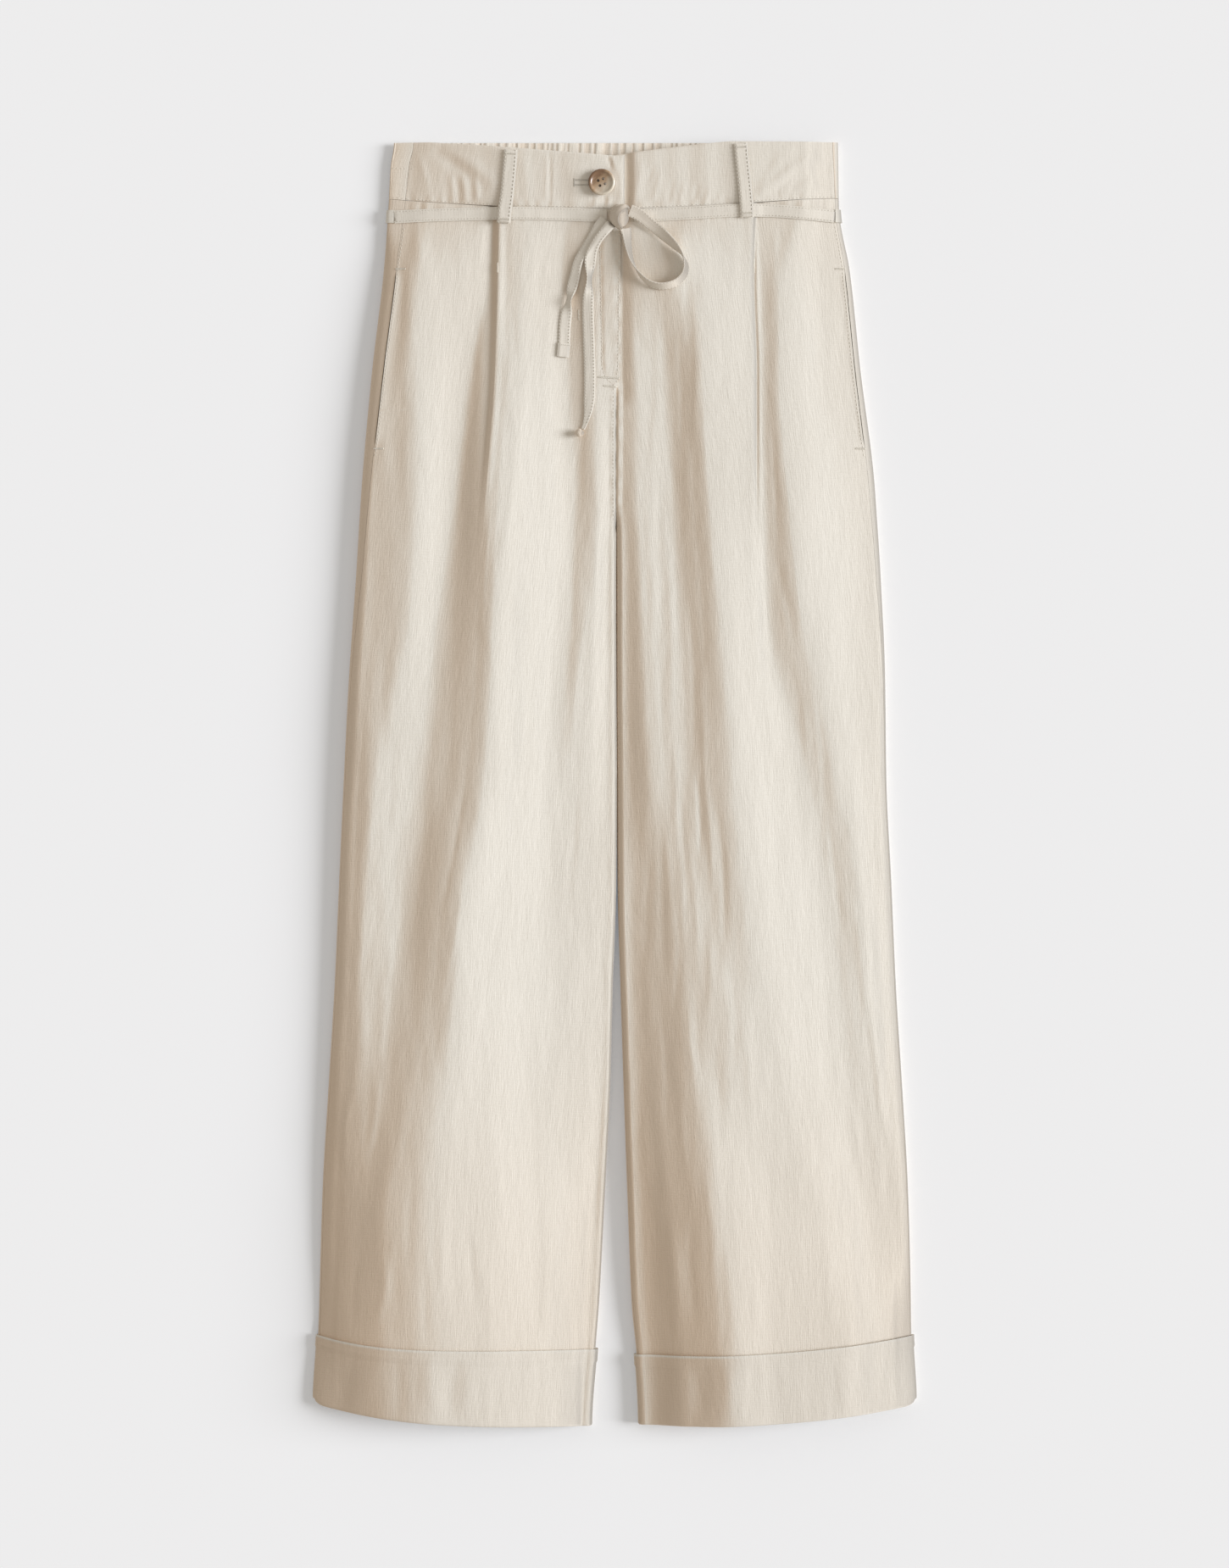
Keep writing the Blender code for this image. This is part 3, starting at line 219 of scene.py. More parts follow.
# one section of one leg: its edges, seams and the profile of its top
def legSection(side, y):
    t = trousers
    along = sectionCurves[side]
    sign = sides[side]
    outer = float(sign * edgeCurves[side + "Outer"](y))
    turn = float(1.0 - ease(*t["crotchTurn"], y))
    lap = float(ease(*t["flyBottom"], y))
    inner = float(sign * edgeCurves[side + "Inner"](y)) + 0.5 * t["seam"] + 0.15 * mm * turn
    flap = t["inseamRoll"]
    drop = 0.0
    if side == "right":
        frontInner = inner + lap * (-t["flyLap"] - inner)
    else:
        frontInner = inner + lap * (t["flyUnder"] - inner)
        flap += lap * t["underFlap"]
        drop = t["lapDrop"] * float(ease(*t["lapDropEnd"], y))
    low, high = t["pocketMouth"]
    mouth = float(ease(low, low + t["mouthEnds"], y) * (1.0 - ease(high - t["mouthEnds"], high, y)))
    edgeZ = float(along["outerEdgeZ"](y))
    flatSide = t["shadeTurn"] + (t["litTurn"] - t["shadeTurn"]) * float(ease(*t["squarerFrom"], y))
    centreZ = float(along["centreZ"](y)) - drop
    knots = [(outer - t["edgeRoll"], edgeZ)]
    knots += [(float(along[name](y)), float(along[name + "Z"](y))) for name in foldNames]
    knots += [(frontInner + flap, centreZ)]
    return {"side": side, "sign": sign, "y": y, "outer": outer, "inner": inner, "turn": turn,
            "outerTurn": t["litTurn"] if side == "left" else flatSide,
            "innerTurn": t["litTurn"] if side == "right" else t["shadeTurn"],
            "edgeZ": edgeZ, "centreZ": centreZ, "lift": underLift(y), "frontInner": frontInner,
            "flap": flap, "mouth": mouth, "knots": knots,
            "profile": softCurve(knots, t["edgeSlope"], t["innerSlope"] * (1.0 - turn)),
            "edgeSlope": t["edgeSlope"] * (edgeZ - knots[1][1]) / (knots[0][0] - knots[1][0]),
            "seam": outer - max(float(edgeCurves[side + "Seam"](y)), t["leastSeam"])}


# the slope of the top carries on over the round outer edge
def edgeTop(cut, out):
    return cut["edgeZ"] + cut["edgeSlope"] * np.maximum(0.0, out - cut["outer"] + trousers["edgeRoll"])


# rise of a rounded edge: share 0 on top, 1 at the outermost place; a high turn is a squarer edge
def rollRise(share, turn):
    return np.maximum(0.0, 1.0 - share ** turn) ** (1.0 / turn)


# height of the top of a section at places measured outwards from the centre line
def topHeight(cut, out):
    out = np.asarray(out, float)
    lift = cut["lift"]
    z = cut["profile"](out)
    rollStart = cut["outer"] - trousers["edgeRoll"]
    share = np.clip((out - rollStart) / trousers["edgeRoll"], 0.0, 1.0)
    half = 0.5 * (edgeTop(cut, out) - lift)
    z = np.where(out > rollStart, lift + half * (1.0 + rollRise(share, cut["outerTurn"])), z)
    flapEnd = cut["frontInner"] + cut["flap"]
    share = np.clip((flapEnd - out) / cut["flap"], 0.0, 1.0)
    half = 0.5 * (cut["centreZ"] - lift)
    rolled = lift + half * (1.0 + rollRise(share, cut["innerTurn"]))
    flapZ = cut["centreZ"] + (rolled - cut["centreZ"]) * cut["turn"]
    return np.where(out < flapEnd, flapZ, z)


# how rows bend across: the waist seam, the turn-up and the hem all sag
def waistSag(side, out):
    depth, power = waistSeamSag[side]
    reach = np.clip(np.asarray(out) / trousers["waistReach"], 0.0, 1.0)
    return depth * mm * (1 - reach * reach) ** power


# how far down the turn-up a row lies, 0 at its top and 1 at the hem
def cuffShare(y):
    top, low = trousers["cuffTopY"], trousers["hemY"]
    return min(1.0, max(0.0, (top - y) / (top - low)))


def rowY(cut, out, isBack=False):
    t = trousers
    side, y = cut["side"], cut["y"]
    out = np.asarray(out, float)
    sagOut = np.maximum(out, cut["seam"]) if isBack else out
    waist = float(ease(t["sagBelowWaist"], t["waistSeamY"], y)) * waistSag(side, sagOut)
    share = np.clip((cut["outer"] - out) / (cut["outer"] - cut["inner"]), 0.0, 1.0)
    high, low = (depth * mm * (1 - (1 - share) ** power) for depth, power in (cuffTopSag[side], hemSag[side]))
    atCuff = float(ease(t["sagAboveCuff"], t["cuffTopY"], y))
    return y - waist - atCuff * (high + (low - high) * cuffShare(y))


# creases pressed and worn into the cloth; places in mm, out from the centre:
# top end (y, out), low end (y, out), half width, height (below 0 a groove), bow outwards
frontCreases = {
    "right": (
        (470, 160, 405, 150, 4, 0.5, 3), (462, 146, 392, 139, 3.5, -0.45, 2),
        (466, 128, 380, 122, 4.5, 0.4, -2), (455, 113, 400, 108, 3, -0.3, 1),
        (440, 175, 330, 178, 3.5, -0.7, -4), (420, 166, 300, 172, 5, 0.8, -3),
        (350, 182, 240, 186, 3, 0.7, 2), (330, 170, 200, 172, 4.5, -0.8, 3),
        (300, 192, 190, 197, 3, -0.6, 2), (260, 158, 120, 165, 3, 0.5, 2),
        (150, 176, 10, 186, 4, -0.8, 4), (120, 192, -20, 198, 5, 0.7, 3),
        (60, 170, -60, 181, 3.5, 0.6, -2), (20, 206, -120, 211, 4.5, -0.5, 1),
        (455, 92, 330, 90, 3, 0.45, 1), (400, 84, 300, 80, 3, -0.4, -2),
        (345, 70, 240, 74, 3.5, 0.4, 2), (305, 84, 180, 96, 2.6, -0.5, -3),
        (300, 78, 170, 92, 2.8, 0.5, -3), (240, 97, 120, 107, 2.6, 0.5, 2),
        (455, 40, 350, 44, 4, -0.5, 1), (440, 29, 345, 24, 3, 0.5, 1),
        (330, 22, 215, 28, 4, -0.7, 2), (200, 33, 60, 42, 4, -0.9, -3),
        (150, 22, 20, 34, 3, 0.6, 2), (70, 50, -60, 44, 4.5, 0.6, 3),
        (30, 30, -110, 38, 3, -0.5, -2), (90, 128, -10, 131, 2.6, -0.8, 2),
        (60, 138, -60, 146, 3.2, 0.8, 3), (10, 120, -100, 139, 2.8, -0.6, -2),
        (-20, 150, -150, 158, 4, -0.5, 3), (-60, 120, -180, 141, 2.6, 0.5, -3),
        (-100, 176, -240, 189, 4, 0.5, 3), (-130, 200, -260, 214, 4, -0.6, 2),
        (-120, 100, -240, 112, 3.4, 0.35, 2), (-150, 78, -260, 84, 5, -0.4, 2),
        (-230, 190, -300, 199, 3, 0.7, -2), (-250, 214, -310, 217, 3, 0.8, 2),
        (-240, 120, -330, 122, 3, -0.4, 2), (-260, 96, -380, 92, 4, 0.5, -2),
        (-300, 158, -400, 165, 3.4, -0.5, 3), (-320, 142, -410, 140, 3, 0.5, -2),
        (-330, 130, -420, 127, 2.6, -0.45, 2), (-345, 118, -415, 112, 2.2, -0.9, 0),
        (-345, 176, -425, 180, 3.6, 0.6, 2), (-372, 187, -430, 192, 4, 1.2, -5),
        (-370, 205, -440, 212, 4, -0.8, 2), (-380, 152, -440, 150, 3, -0.5, 1),
        (-330, 84, -430, 78, 4.5, 0.45, 2), (-300, 66, -430, 62, 5, -0.5, -3),
        (-350, 52, -440, 50, 4, 0.4, 1), (-380, 102, -440, 98, 3, 0.4, 0),
        (-200, 40, -330, 52, 5, 0.35, 3), (-60, 66, -180, 76, 5, -0.35, 3),
    ),
    "left": (
        (470, 150, 395, 142, 4, 0.5, -3), (462, 166, 400, 160, 3.5, -0.5, 2),
        (460, 133, 400, 131, 3, -0.5, 1), (430, 171, 330, 173, 4.5, 0.6, 4),
        (420, 148, 300, 152, 3.5, 0.6, 3), (395, 160, 270, 165, 5, -1, 4),
        (365, 178, 240, 182, 4, -0.6, 3), (330, 152, 210, 160, 4, 0.6, 3),
        (300, 186, 170, 194, 3.5, 0.4, 2), (300, 126, 180, 131, 2.4, -0.6, 1),
        (260, 137, 120, 150, 3, 0.5, 3), (190, 128, 60, 152, 3.2, -0.8, 3),
        (180, 176, 40, 190, 4.5, -0.5, 4), (140, 140, 10, 157, 3, 0.7, 2),
        (90, 160, -40, 168, 3, -0.7, 4), (60, 186, -90, 201, 4, 0.5, 2),
        (20, 148, -110, 160, 3.4, 0.7, 3), (0, 172, -130, 185, 3, -0.7, -2),
        (-60, 158, -190, 171, 3, -0.5, 2), (-90, 192, -210, 204, 3.4, 0.5, 2),
        (-150, 176, -280, 184, 3, 0.5, -2), (-170, 200, -290, 211, 3, -0.7, 2),
        (-230, 182, -340, 204, 3, 0.5, 2), (-260, 214, -350, 221, 3, -0.6, 1),
        (460, 96, 380, 94, 3.5, 0.4, 0), (445, 62, 350, 60, 4, -0.5, -2),
        (420, 86, 310, 84, 3, -0.35, 1), (400, 64, 270, 63, 3, 0.6, 2),
        (385, 51, 250, 55, 3.5, -0.7, 1), (380, 34, 250, 30, 4, 0.5, 2),
        (250, 36, 110, 39, 3, -0.5, -2), (230, 26, 80, 30, 3.4, 0.5, 2),
        (200, 42, 60, 45, 3, 0.6, 2), (150, 60, 20, 64, 3.6, -0.9, 2),
        (120, 34, -20, 40, 3, -0.5, 2), (60, 72, -70, 78, 3, 0.6, -2),
        (50, 46, -60, 49, 2.6, 0.6, 2), (10, 66, -60, 69, 2.2, -1, 1),
        (0, 74, -90, 79, 2.4, 0.9, 1), (-20, 83, -130, 88, 2.6, -1, 2),
        (-10, 52, -130, 58, 2.4, -0.6, 2), (-30, 40, -150, 44, 3, 0.7, 2),
        (-50, 30, -150, 26, 3, -0.8, -2), (-60, 62, -160, 66, 2.6, 0.6, 2),
        (-90, 50, -190, 47, 2.6, -0.5, 3), (-110, 76, -200, 74, 2.8, 0.6, 2),
        (-120, 24, -230, 27, 3, 0.6, 2), (-140, 92, -240, 96, 2.8, -0.5, 2),
        (-160, 60, -250, 66, 2.6, 0.6, -2), (-180, 38, -280, 42, 3, -0.6, 2),
        (-190, 104, -300, 109, 3, 0.5, 2), (-210, 80, -300, 84, 2.6, -0.5, 2),
        (-230, 52, -330, 62, 3, 0.6, -3), (-250, 26, -340, 34, 3.4, -0.6, 2),
        (-270, 118, -380, 124, 4, -0.45, 2), (-290, 96, -400, 100, 3.4, 0.5, -2),
        (-310, 72, -400, 80, 3, 0.7, 2), (-340, 60, -430, 66, 3, -0.9, -2),
        (-350, 44, -438, 50, 4.2, 1.7, 2), (-330, 30, -420, 34, 3, -0.6, 0),
        (-370, 84, -440, 88, 3, -0.6, 1), (-380, 110, -440, 112, 3.4, 0.5, 1),
        (-380, 140, -440, 142, 4, -0.4, 2), (-350, 168, -436, 176, 4, 0.4, 2),
        (-390, 196, -440, 200, 3.4, -0.4, 1),
    ),
}
# the underside lies flat, so its creases only rise off the table
backCreases = {
    "right": (
        (440, 150, 320, 160, 4, 0.7, 3), (420, 90, 270, 84, 5, 0.8, -3),
        (300, 130, 130, 142, 4, 0.9, 4), (250, 50, 90, 60, 5, 0.8, 3),
        (120, 176, -40, 188, 4, 0.8, 3), (60, 96, -120, 110, 6, 1, 4),
        (-40, 40, -200, 52, 4, 0.7, 3), (-100, 150, -260, 166, 5, 0.9, -4),
        (-200, 92, -380, 100, 4, 0.8, 3), (-280, 196, -420, 204, 4, 0.7, 2),
        (-300, 46, -420, 50, 4, 0.7, 2),
    ),
    "left": (
        (430, 60, 300, 66, 4, 0.7, 3), (410, 142, 250, 150, 5, 0.8, 4),
        (280, 96, 120, 90, 4, 0.9, -4), (200, 180, 40, 192, 4, 0.7, 3),
        (100, 50, -60, 58, 5, 0.9, 3), (20, 140, -150, 152, 6, 1, 4),
        (-80, 90, -230, 98, 4, 0.7, 3), (-160, 190, -320, 204, 4, 0.8, 3),
        (-220, 50, -380, 56, 4, 0.8, -3), (-290, 130, -420, 138, 5, 0.8, 3),
    ),
}
fineCrumple = crumpleField(11, 5.5 * mm, 26 * mm)
midCrumple = crumpleField(23, 11 * mm, 60 * mm)
wideCrumple = crumpleField(37, 26 * mm, 90 * mm)
tinyCrumple = crumpleField(41, 3.2 * mm, 9 * mm)
crumpleAmount = {"fine": 0.08 * mm, "mid": 0.11 * mm, "wide": 0.25 * mm, "tiny": 0.04 * mm}
creaseShare = 0.34


def creaseHeight(rows, out, y):
    out, y = np.broadcast_arrays(out, y)
    total = np.zeros(out.shape)
    for yTop, outTop, yLow, outLow, width, height, bow in rows:
        s = (yTop * mm - y) / ((yTop - yLow) * mm)
        inside = (s > 0.0) & (s < 1.0)
        wave = np.where(inside, np.sin(np.pi * np.clip(s, 0, 1)), 0.0)
        place = (outTop + (outLow - outTop) * s + bow * wave) * mm
        d = (out - place) / (width * mm)
        d = np.where(d > 0, d * 0.72, d * 1.25)     # steeper on one side, as a press mark is
        total += height * mm * wave ** 0.75 * np.exp(-d * d) * (d * d < 16)
    return total


# all the relief that the front has on top of its main folds
def frontRelief(side, out, y):
    shift = 0.0 if side == "right" else 1.7
    lower = 0.45 + 0.55 * ease(220 * mm, -60 * mm, y)
    upper = ease(474 * mm, 440 * mm, y)
    c = crumpleAmount
    noise = (c["fine"] * fineCrumple(out + shift, y) * lower + c["mid"] * midCrumple(out + shift, y)
             + c["wide"] * wideCrumple(out + shift, y) + c["tiny"] * tinyCrumple(out + shift, y))
    return creaseShare * creaseHeight(frontCreases[side], out, y) + noise * upper


# give a node its inputs: a socket is linked, anything else is a plain value
def fillNode(tree, node, inputs):
    for key, value in dict(inputs).items():
        if isinstance(value, bpy.types.NodeSocket):
            tree.links.new(value, node.inputs[key])
        else:
            node.inputs[key].default_value = value
    return node


def makeNode(tree, kind, inputs=(), **settings):
    node = tree.nodes.new(kind)
    for key, value in settings.items():
        setattr(node, key, value)
    return fillNode(tree, node, inputs)


# finishes: cloth, thread and horn
def newFinish(name):
    finish = bpy.data.materials.new(name)
    finish.use_nodes = True
    tree = finish.node_tree
    return finish, tree, tree.nodes["Principled BSDF"]


def objectPlace(tree):
    return makeNode(tree, "ShaderNodeTexCoord").outputs["Object"]


# start plus each value times its weight
def weighed(tree, start, *parts, clamp=False):
    for k, (value, weight) in enumerate(parts):
        start = makeNode(tree, "ShaderNodeMath", {0: value, 1: weight, 2: start}, operation="MULTIPLY_ADD",
                         use_clamp=clamp and k == len(parts) - 1).outputs[0]
    return start


def shaderMath(tree, operation, a, b=0.5, clamp=False):
    return makeNode(tree, "ShaderNodeMath", {0: a, 1: b}, operation=operation, use_clamp=clamp).outputs[0]


def mixColours(tree, share, one, two):
    one, two = ((*c, 1.0) if isinstance(c, tuple) else c for c in (one, two))
    return makeNode(tree, "ShaderNodeMix", {0: share, 6: one, 7: two}, data_type="RGBA").outputs[2]


def stretchedNoise(tree, place, across, along, detail=2.0):
    mapping = makeNode(tree, "ShaderNodeMapping",
                       {"Vector": place, "Scale": (1.0 / across, 1.0 / along, 1.0 / across)})
    return makeNode(tree, "ShaderNodeTexNoise", {"Vector": mapping.outputs["Vector"], "Scale": 1.0,
                                                 "Detail": detail, "Roughness": 0.55}).outputs["Fac"]


def bumpOf(tree, height, strength, distance, **more):
    inputs = {"Height": height, "Strength": strength, "Distance": distance, **more}
    return makeNode(tree, "ShaderNodeBump", inputs).outputs["Normal"]


def toned(colour, tone):
    return tuple(c * tone for c in colour)


# linen: warp and weft threads of uneven thickness, slubs, a soft cloudy tone; painted warm shade where faces turn
# from the light and painted dimming where they turn to it
linenLook = {
    "light": (0.812, 0.764, 0.680), "dark": (0.722, 0.668, 0.580), "warmShade": (0.735, 0.574, 0.426),
    "rubMarksAndPaintedDim": (0.035, 0.027, 0.02), "sheenTint": (1.0, 0.97, 0.92, 1.0), "threadPitch": 0.62 * mm,
    "slubWidth": 0.85 * mm, "slubLength": 14 * mm, "cloud": 45 * mm, "bump": 0.62, "bumpDepth": 0.32 * mm,
    "crush": 0.35, "crushDepth": 0.7 * mm, "sheen": 0.06, "shadeWarmth": 0.86,
}


def makeLinen(name, place="uv", tone=1.0, fine=1.0, shadeWarmth=linenLook["shadeWarmth"]):
    look = linenLook
    finish, tree, shader = newFinish(name)
    where = objectPlace(tree) if place == "object" else \
        makeNode(tree, "ShaderNodeUVMap", uv_map="clothUv").outputs["UV"]
    width, length = look["slubWidth"], look["slubLength"]
    warpSlub = stretchedNoise(tree, where, width, length, 3.0)
    weftSlub = stretchedNoise(tree, where, length * 0.8, width * 1.1, 3.0)
    grain = stretchedNoise(tree, where, 2.4 * mm, 2.6 * mm, 4.0)
    cloud = stretchedNoise(tree, where, look["cloud"], look["cloud"] * 2.2)
    rubMarksAndPaintedDim = stretchedNoise(tree, where, 5 * mm, 22 * mm, 3.0)
    waves = [makeNode(tree, "ShaderNodeTexWave",
                      {"Vector": where, "Scale": 2 * math.pi / (20 * look["threadPitch"]), "Distortion": 1.6,
                       "Detail": 2.0, "Detail Scale": 0.35}, wave_type="BANDS",
                      bands_direction=direction).outputs["Fac"] for direction in "XY"]
    weave = shaderMath(tree, "MAXIMUM", *waves)
    slubs = shaderMath(tree, "ADD", warpSlub, weftSlub)
    toneShare = weighed(tree, -0.12, (slubs, 0.62), (cloud, 0.50), (weave, 0.16), clamp=True)
    colour = mixColours(tree, toneShare, toned(look["dark"], tone), toned(look["light"], tone))
    if place == "uv":
        # painted shade: the first attribute mixes in a warmer, darker tone where faces turn from the light; the
        # second dims the colour where faces turn to it
        paintedShade, turned = (makeNode(tree, "ShaderNodeAttribute", attribute_name=key).outputs["Fac"]
                          for key in ("paintedShade", "turned"))
        share = shaderMath(tree, "MULTIPLY", paintedShade, shadeWarmth, clamp=True)
        colour = mixColours(tree, share, colour, toned(look["warmShade"], tone))
        colour = mixColours(tree, turned, colour, look["rubMarksAndPaintedDim"])
    crush = bumpOf(tree, rubMarksAndPaintedDim, look["crush"] * fine, look["crushDepth"])
    relief = weighed(tree, slubs, (weave, 0.20), (grain, 0.55))
    fillNode(tree, shader, {
        "Base Color": colour, "Roughness": weighed(tree, 0.78, (rubMarksAndPaintedDim, 0.16), clamp=True),
        "Normal": bumpOf(tree, relief, look["bump"] * fine, look["bumpDepth"], Normal=crush),
        "Specular IOR Level": 0.15, "Sheen Weight": look["sheen"], "Sheen Roughness": 0.55,
        "Sheen Tint": look["sheenTint"]})
    return finish


threadLook = {"light": (0.80, 0.765, 0.69), "dark": (0.64, 0.59, 0.50), "twist": 0.35 * mm}


def makeThread(name, tone=1.0):
    finish, tree, shader = newFinish(name)
    twist = stretchedNoise(tree, objectPlace(tree), threadLook["twist"], threadLook["twist"])
    fillNode(tree, shader, {
        "Base Color": mixColours(tree, twist, toned(threadLook["dark"], tone), toned(threadLook["light"], tone)),
        "Normal": bumpOf(tree, twist, 0.5, 0.1 * mm), "Roughness": 0.6, "Sheen Weight": 0.2})
    return finish


# horn: brown at one side of the button, cream at the other, in soft drawn-out clouds
hornLook = {"centre": (-10.4 * mm, 485.7 * mm), "brown": (0.205, 0.115, 0.062), "tan": (0.40, 0.27, 0.165),
            "cream": (0.66, 0.585, 0.47), "reach": 10.7 * mm, "turn": 42}


def makeHorn(name):
    finish, tree, shader = newFinish(name)
    x, y = hornLook["centre"]
    centred = makeNode(tree, "ShaderNodeMapping", {"Vector": objectPlace(tree), "Location": (-x, -y, 0.0)})
    spin = makeNode(tree, "ShaderNodeMapping", {"Vector": centred.outputs["Vector"],
                                                "Rotation": (0.0, 0.0, math.radians(hornLook["turn"]))})
    where = spin.outputs["Vector"]
    across = makeNode(tree, "ShaderNodeSeparateXYZ", {"Vector": where}).outputs["X"]
    clouds = stretchedNoise(tree, where, 3.2 * mm, 9 * mm, 4.0)
    streaks = stretchedNoise(tree, where, 0.9 * mm, 6 * mm, 3.0)
    share = weighed(tree, 0.42, (across, 0.5 / hornLook["reach"]), (clouds, 0.55), (streaks, 0.22))
    ramp = makeNode(tree, "ShaderNodeValToRGB", {"Fac": shaderMath(tree, "SUBTRACT", share, 0.36, clamp=True)})
    stops = ramp.color_ramp.elements
    stops[0].position, stops[1].position = 0.12, 0.78
    stops.new(0.42)
    for stop, shade in zip(stops, ("brown", "tan", "cream")):
        stop.color = (*hornLook[shade], 1.0)
    fillNode(tree, shader, {
        "Base Color": ramp.outputs["Color"], "Roughness": weighed(tree, 0.24, (streaks, 0.14)),
        "Normal": bumpOf(tree, streaks, 0.12, 0.2 * mm), "Coat Weight": 0.25, "Coat Roughness": 0.12,
        "Specular IOR Level": 0.5})
    return finish


linenFinish = makeLinen("linenCloth")
# a lighter copy of the linen for the gathered back band: painted light against the shade the front band casts on it
linenPaintedLight = makeLinen("linenPaintedLight", tone=1.12)
# a darker copy of the linen for the turn-ups: painted shade, darker towards the hems
linenTurnUp = makeLinen("linenTurnUp", tone=0.95)
# a darker copy of the linen for the knot and its wrap: painted shade
linenKnot = makeLinen("linenKnot", tone=0.87, fine=0.8, shadeWarmth=0.4)
linenTape = makeLinen("linenTape", fine=0.8, shadeWarmth=0.5)
linenPlain = makeLinen("linenPlain", place="object", tone=0.97)
pocketFinish = makeLinen("pocketCotton", place="object", tone=1.03, fine=0.6)
threadFinish = makeThread("sewingThread")
# a darker copy of the thread for the buttonhole: painted shade
threadShaded = makeThread("closeStitchThread", 0.85)
# a lighter copy of the thread for the tacks: painted light against the shade of their raised close rows
threadTack = makeThread("tackThread", 1.12)
# a near-black copy of the thread for the button's holes and shank: painted shade in the holes
holeShadeThread = makeThread("buttonThread", 0.3)
hornFinish = makeHorn("buttonHorn")
print("finishes made")


# grids of points made into cloth
def gridNormals(grid):
    down = np.gradient(grid, axis=0)
    across = np.gradient(grid, axis=1)
    normals = np.cross(across, down)
    return normals / np.maximum(np.linalg.norm(normals, axis=2, keepdims=True), 1e-12)


# length run along each row of a grid, or along a line of points
def runLengths(grid):
    run = np.zeros(grid.shape[:-1])
    run[..., 1:] = np.cumsum(np.linalg.norm(np.diff(grid, axis=-2), axis=-1), axis=-1)
    return run


# normals of a line of (out, height) points, to the left of its run
def lineNormals(points, closed=False):
    ahead = np.roll(points, -1, axis=0) - np.roll(points, 1, axis=0) if closed else np.gradient(points, axis=0)
    ahead /= np.linalg.norm(ahead, axis=1, keepdims=True)
    return np.stack([-ahead[:, 1], ahead[:, 0]], axis=1)


def linkMesh(name, verts, faces, uvs=None, attributes=(), sharp=()):
    mesh = bpy.data.meshes.new(name)
    mesh.from_pydata([tuple(v) for v in verts], [], faces)
    if uvs is not None:
        loopVerts = np.zeros(len(mesh.loops), int)
        mesh.loops.foreach_get("vertex_index", loopVerts)
        layer = mesh.uv_layers.new(name="clothUv")
        layer.data.foreach_set("uv", np.asarray(uvs, np.float32)[loopVerts].ravel())
    for key, values in attributes:
        mesh.attributes.new(key, "FLOAT", "POINT").data.foreach_set("value", np.asarray(values, np.float32))
    mesh.update()
    mesh.shade_smooth()
    thing = addObject(name, mesh)
    if sharp:
        keys = {tuple(sorted(e)) for e in sharp}
        for edge in mesh.edges:
            if tuple(sorted(edge.vertices)) in keys:
                edge.use_edge_sharp = True
    return thing


# faces of two grids of rows by cols points that make one closed wall, and the edges of its rim
def wallFaces(rows, cols, outward=1.0):
    base = rows * cols
    i, j = np.meshgrid(np.arange(rows - 1), np.arange(cols - 1), indexing="ij")
    a = (i * cols + j).ravel()
    quads = np.stack([a, a + 1, a + cols + 1, a + cols], axis=1)
    if outward < 0:
        quads = quads[:, ::-1]
    faces = [tuple(q) for q in quads] + [tuple(q[::-1] + base) for q in quads]
    rim = ([k for k in range(cols)] + [r * cols + cols - 1 for r in range(1, rows)]
           + [(rows - 1) * cols + k for k in range(cols - 2, -1, -1)]
           + [r * cols for r in range(rows - 2, 0, -1)])
    sharp = []
    for k, one in enumerate(rim):
        two = rim[(k + 1) % len(rim)]
        face = (two, one, one + base, two + base)
        faces.append(face if outward > 0 else face[::-1])
        sharp += [(one, two), (one + base, two + base)]
    return faces, sharp


# a shell of cloth on a grid of outside points; the last argument weighs its painted warm shade
def clothShell(name, grid, thickness, uvOrigin, faceUp=True, warmShade=1.0):
    rows, cols = grid.shape[:2]
    normals = gridNormals(grid)
    outward = 1.0 if (normals[rows // 2, cols // 2, 2] > 0) == faceUp else -1.0
    normals *= outward
    paintedShade = paintedShadeOf(grid, normals).ravel() * warmShade
    uvs = np.stack([runLengths(grid) + uvOrigin[0], grid[:, :, 1] + uvOrigin[1]], axis=2).reshape(-1, 2)
    faces, sharp = wallFaces(rows, cols, outward)
    verts = np.concatenate([grid.reshape(-1, 3), (grid - normals * thickness).reshape(-1, 3)])
    thing = linkMesh(name, verts, faces, np.concatenate([uvs, uvs]),
                     (("paintedShade", np.concatenate([paintedShade, paintedShade])),), sharp)
    fixNormals(thing)
    thing["midArea"] = float(gridArea(grid))
    print(name, len(thing.data.polygons), "faces, area", round(thing["midArea"], 4))
    return thing


def fixNormals(thing):
    bm = bmesh.new()
    bm.from_mesh(thing.data)
    bmesh.ops.recalc_face_normals(bm, faces=bm.faces[:])
    if bm.calc_volume(signed=True) < 0.0:      # a closed wall that came out inside out
        bmesh.ops.reverse_faces(bm, faces=bm.faces[:])
    bm.to_mesh(thing.data)
    bm.free()


def gridArea(grid):
    a = grid[1:, 1:] - grid[:-1, :-1]
    b = grid[1:, :-1] - grid[:-1, 1:]
    return 0.5 * np.linalg.norm(np.cross(a, b), axis=2).sum()


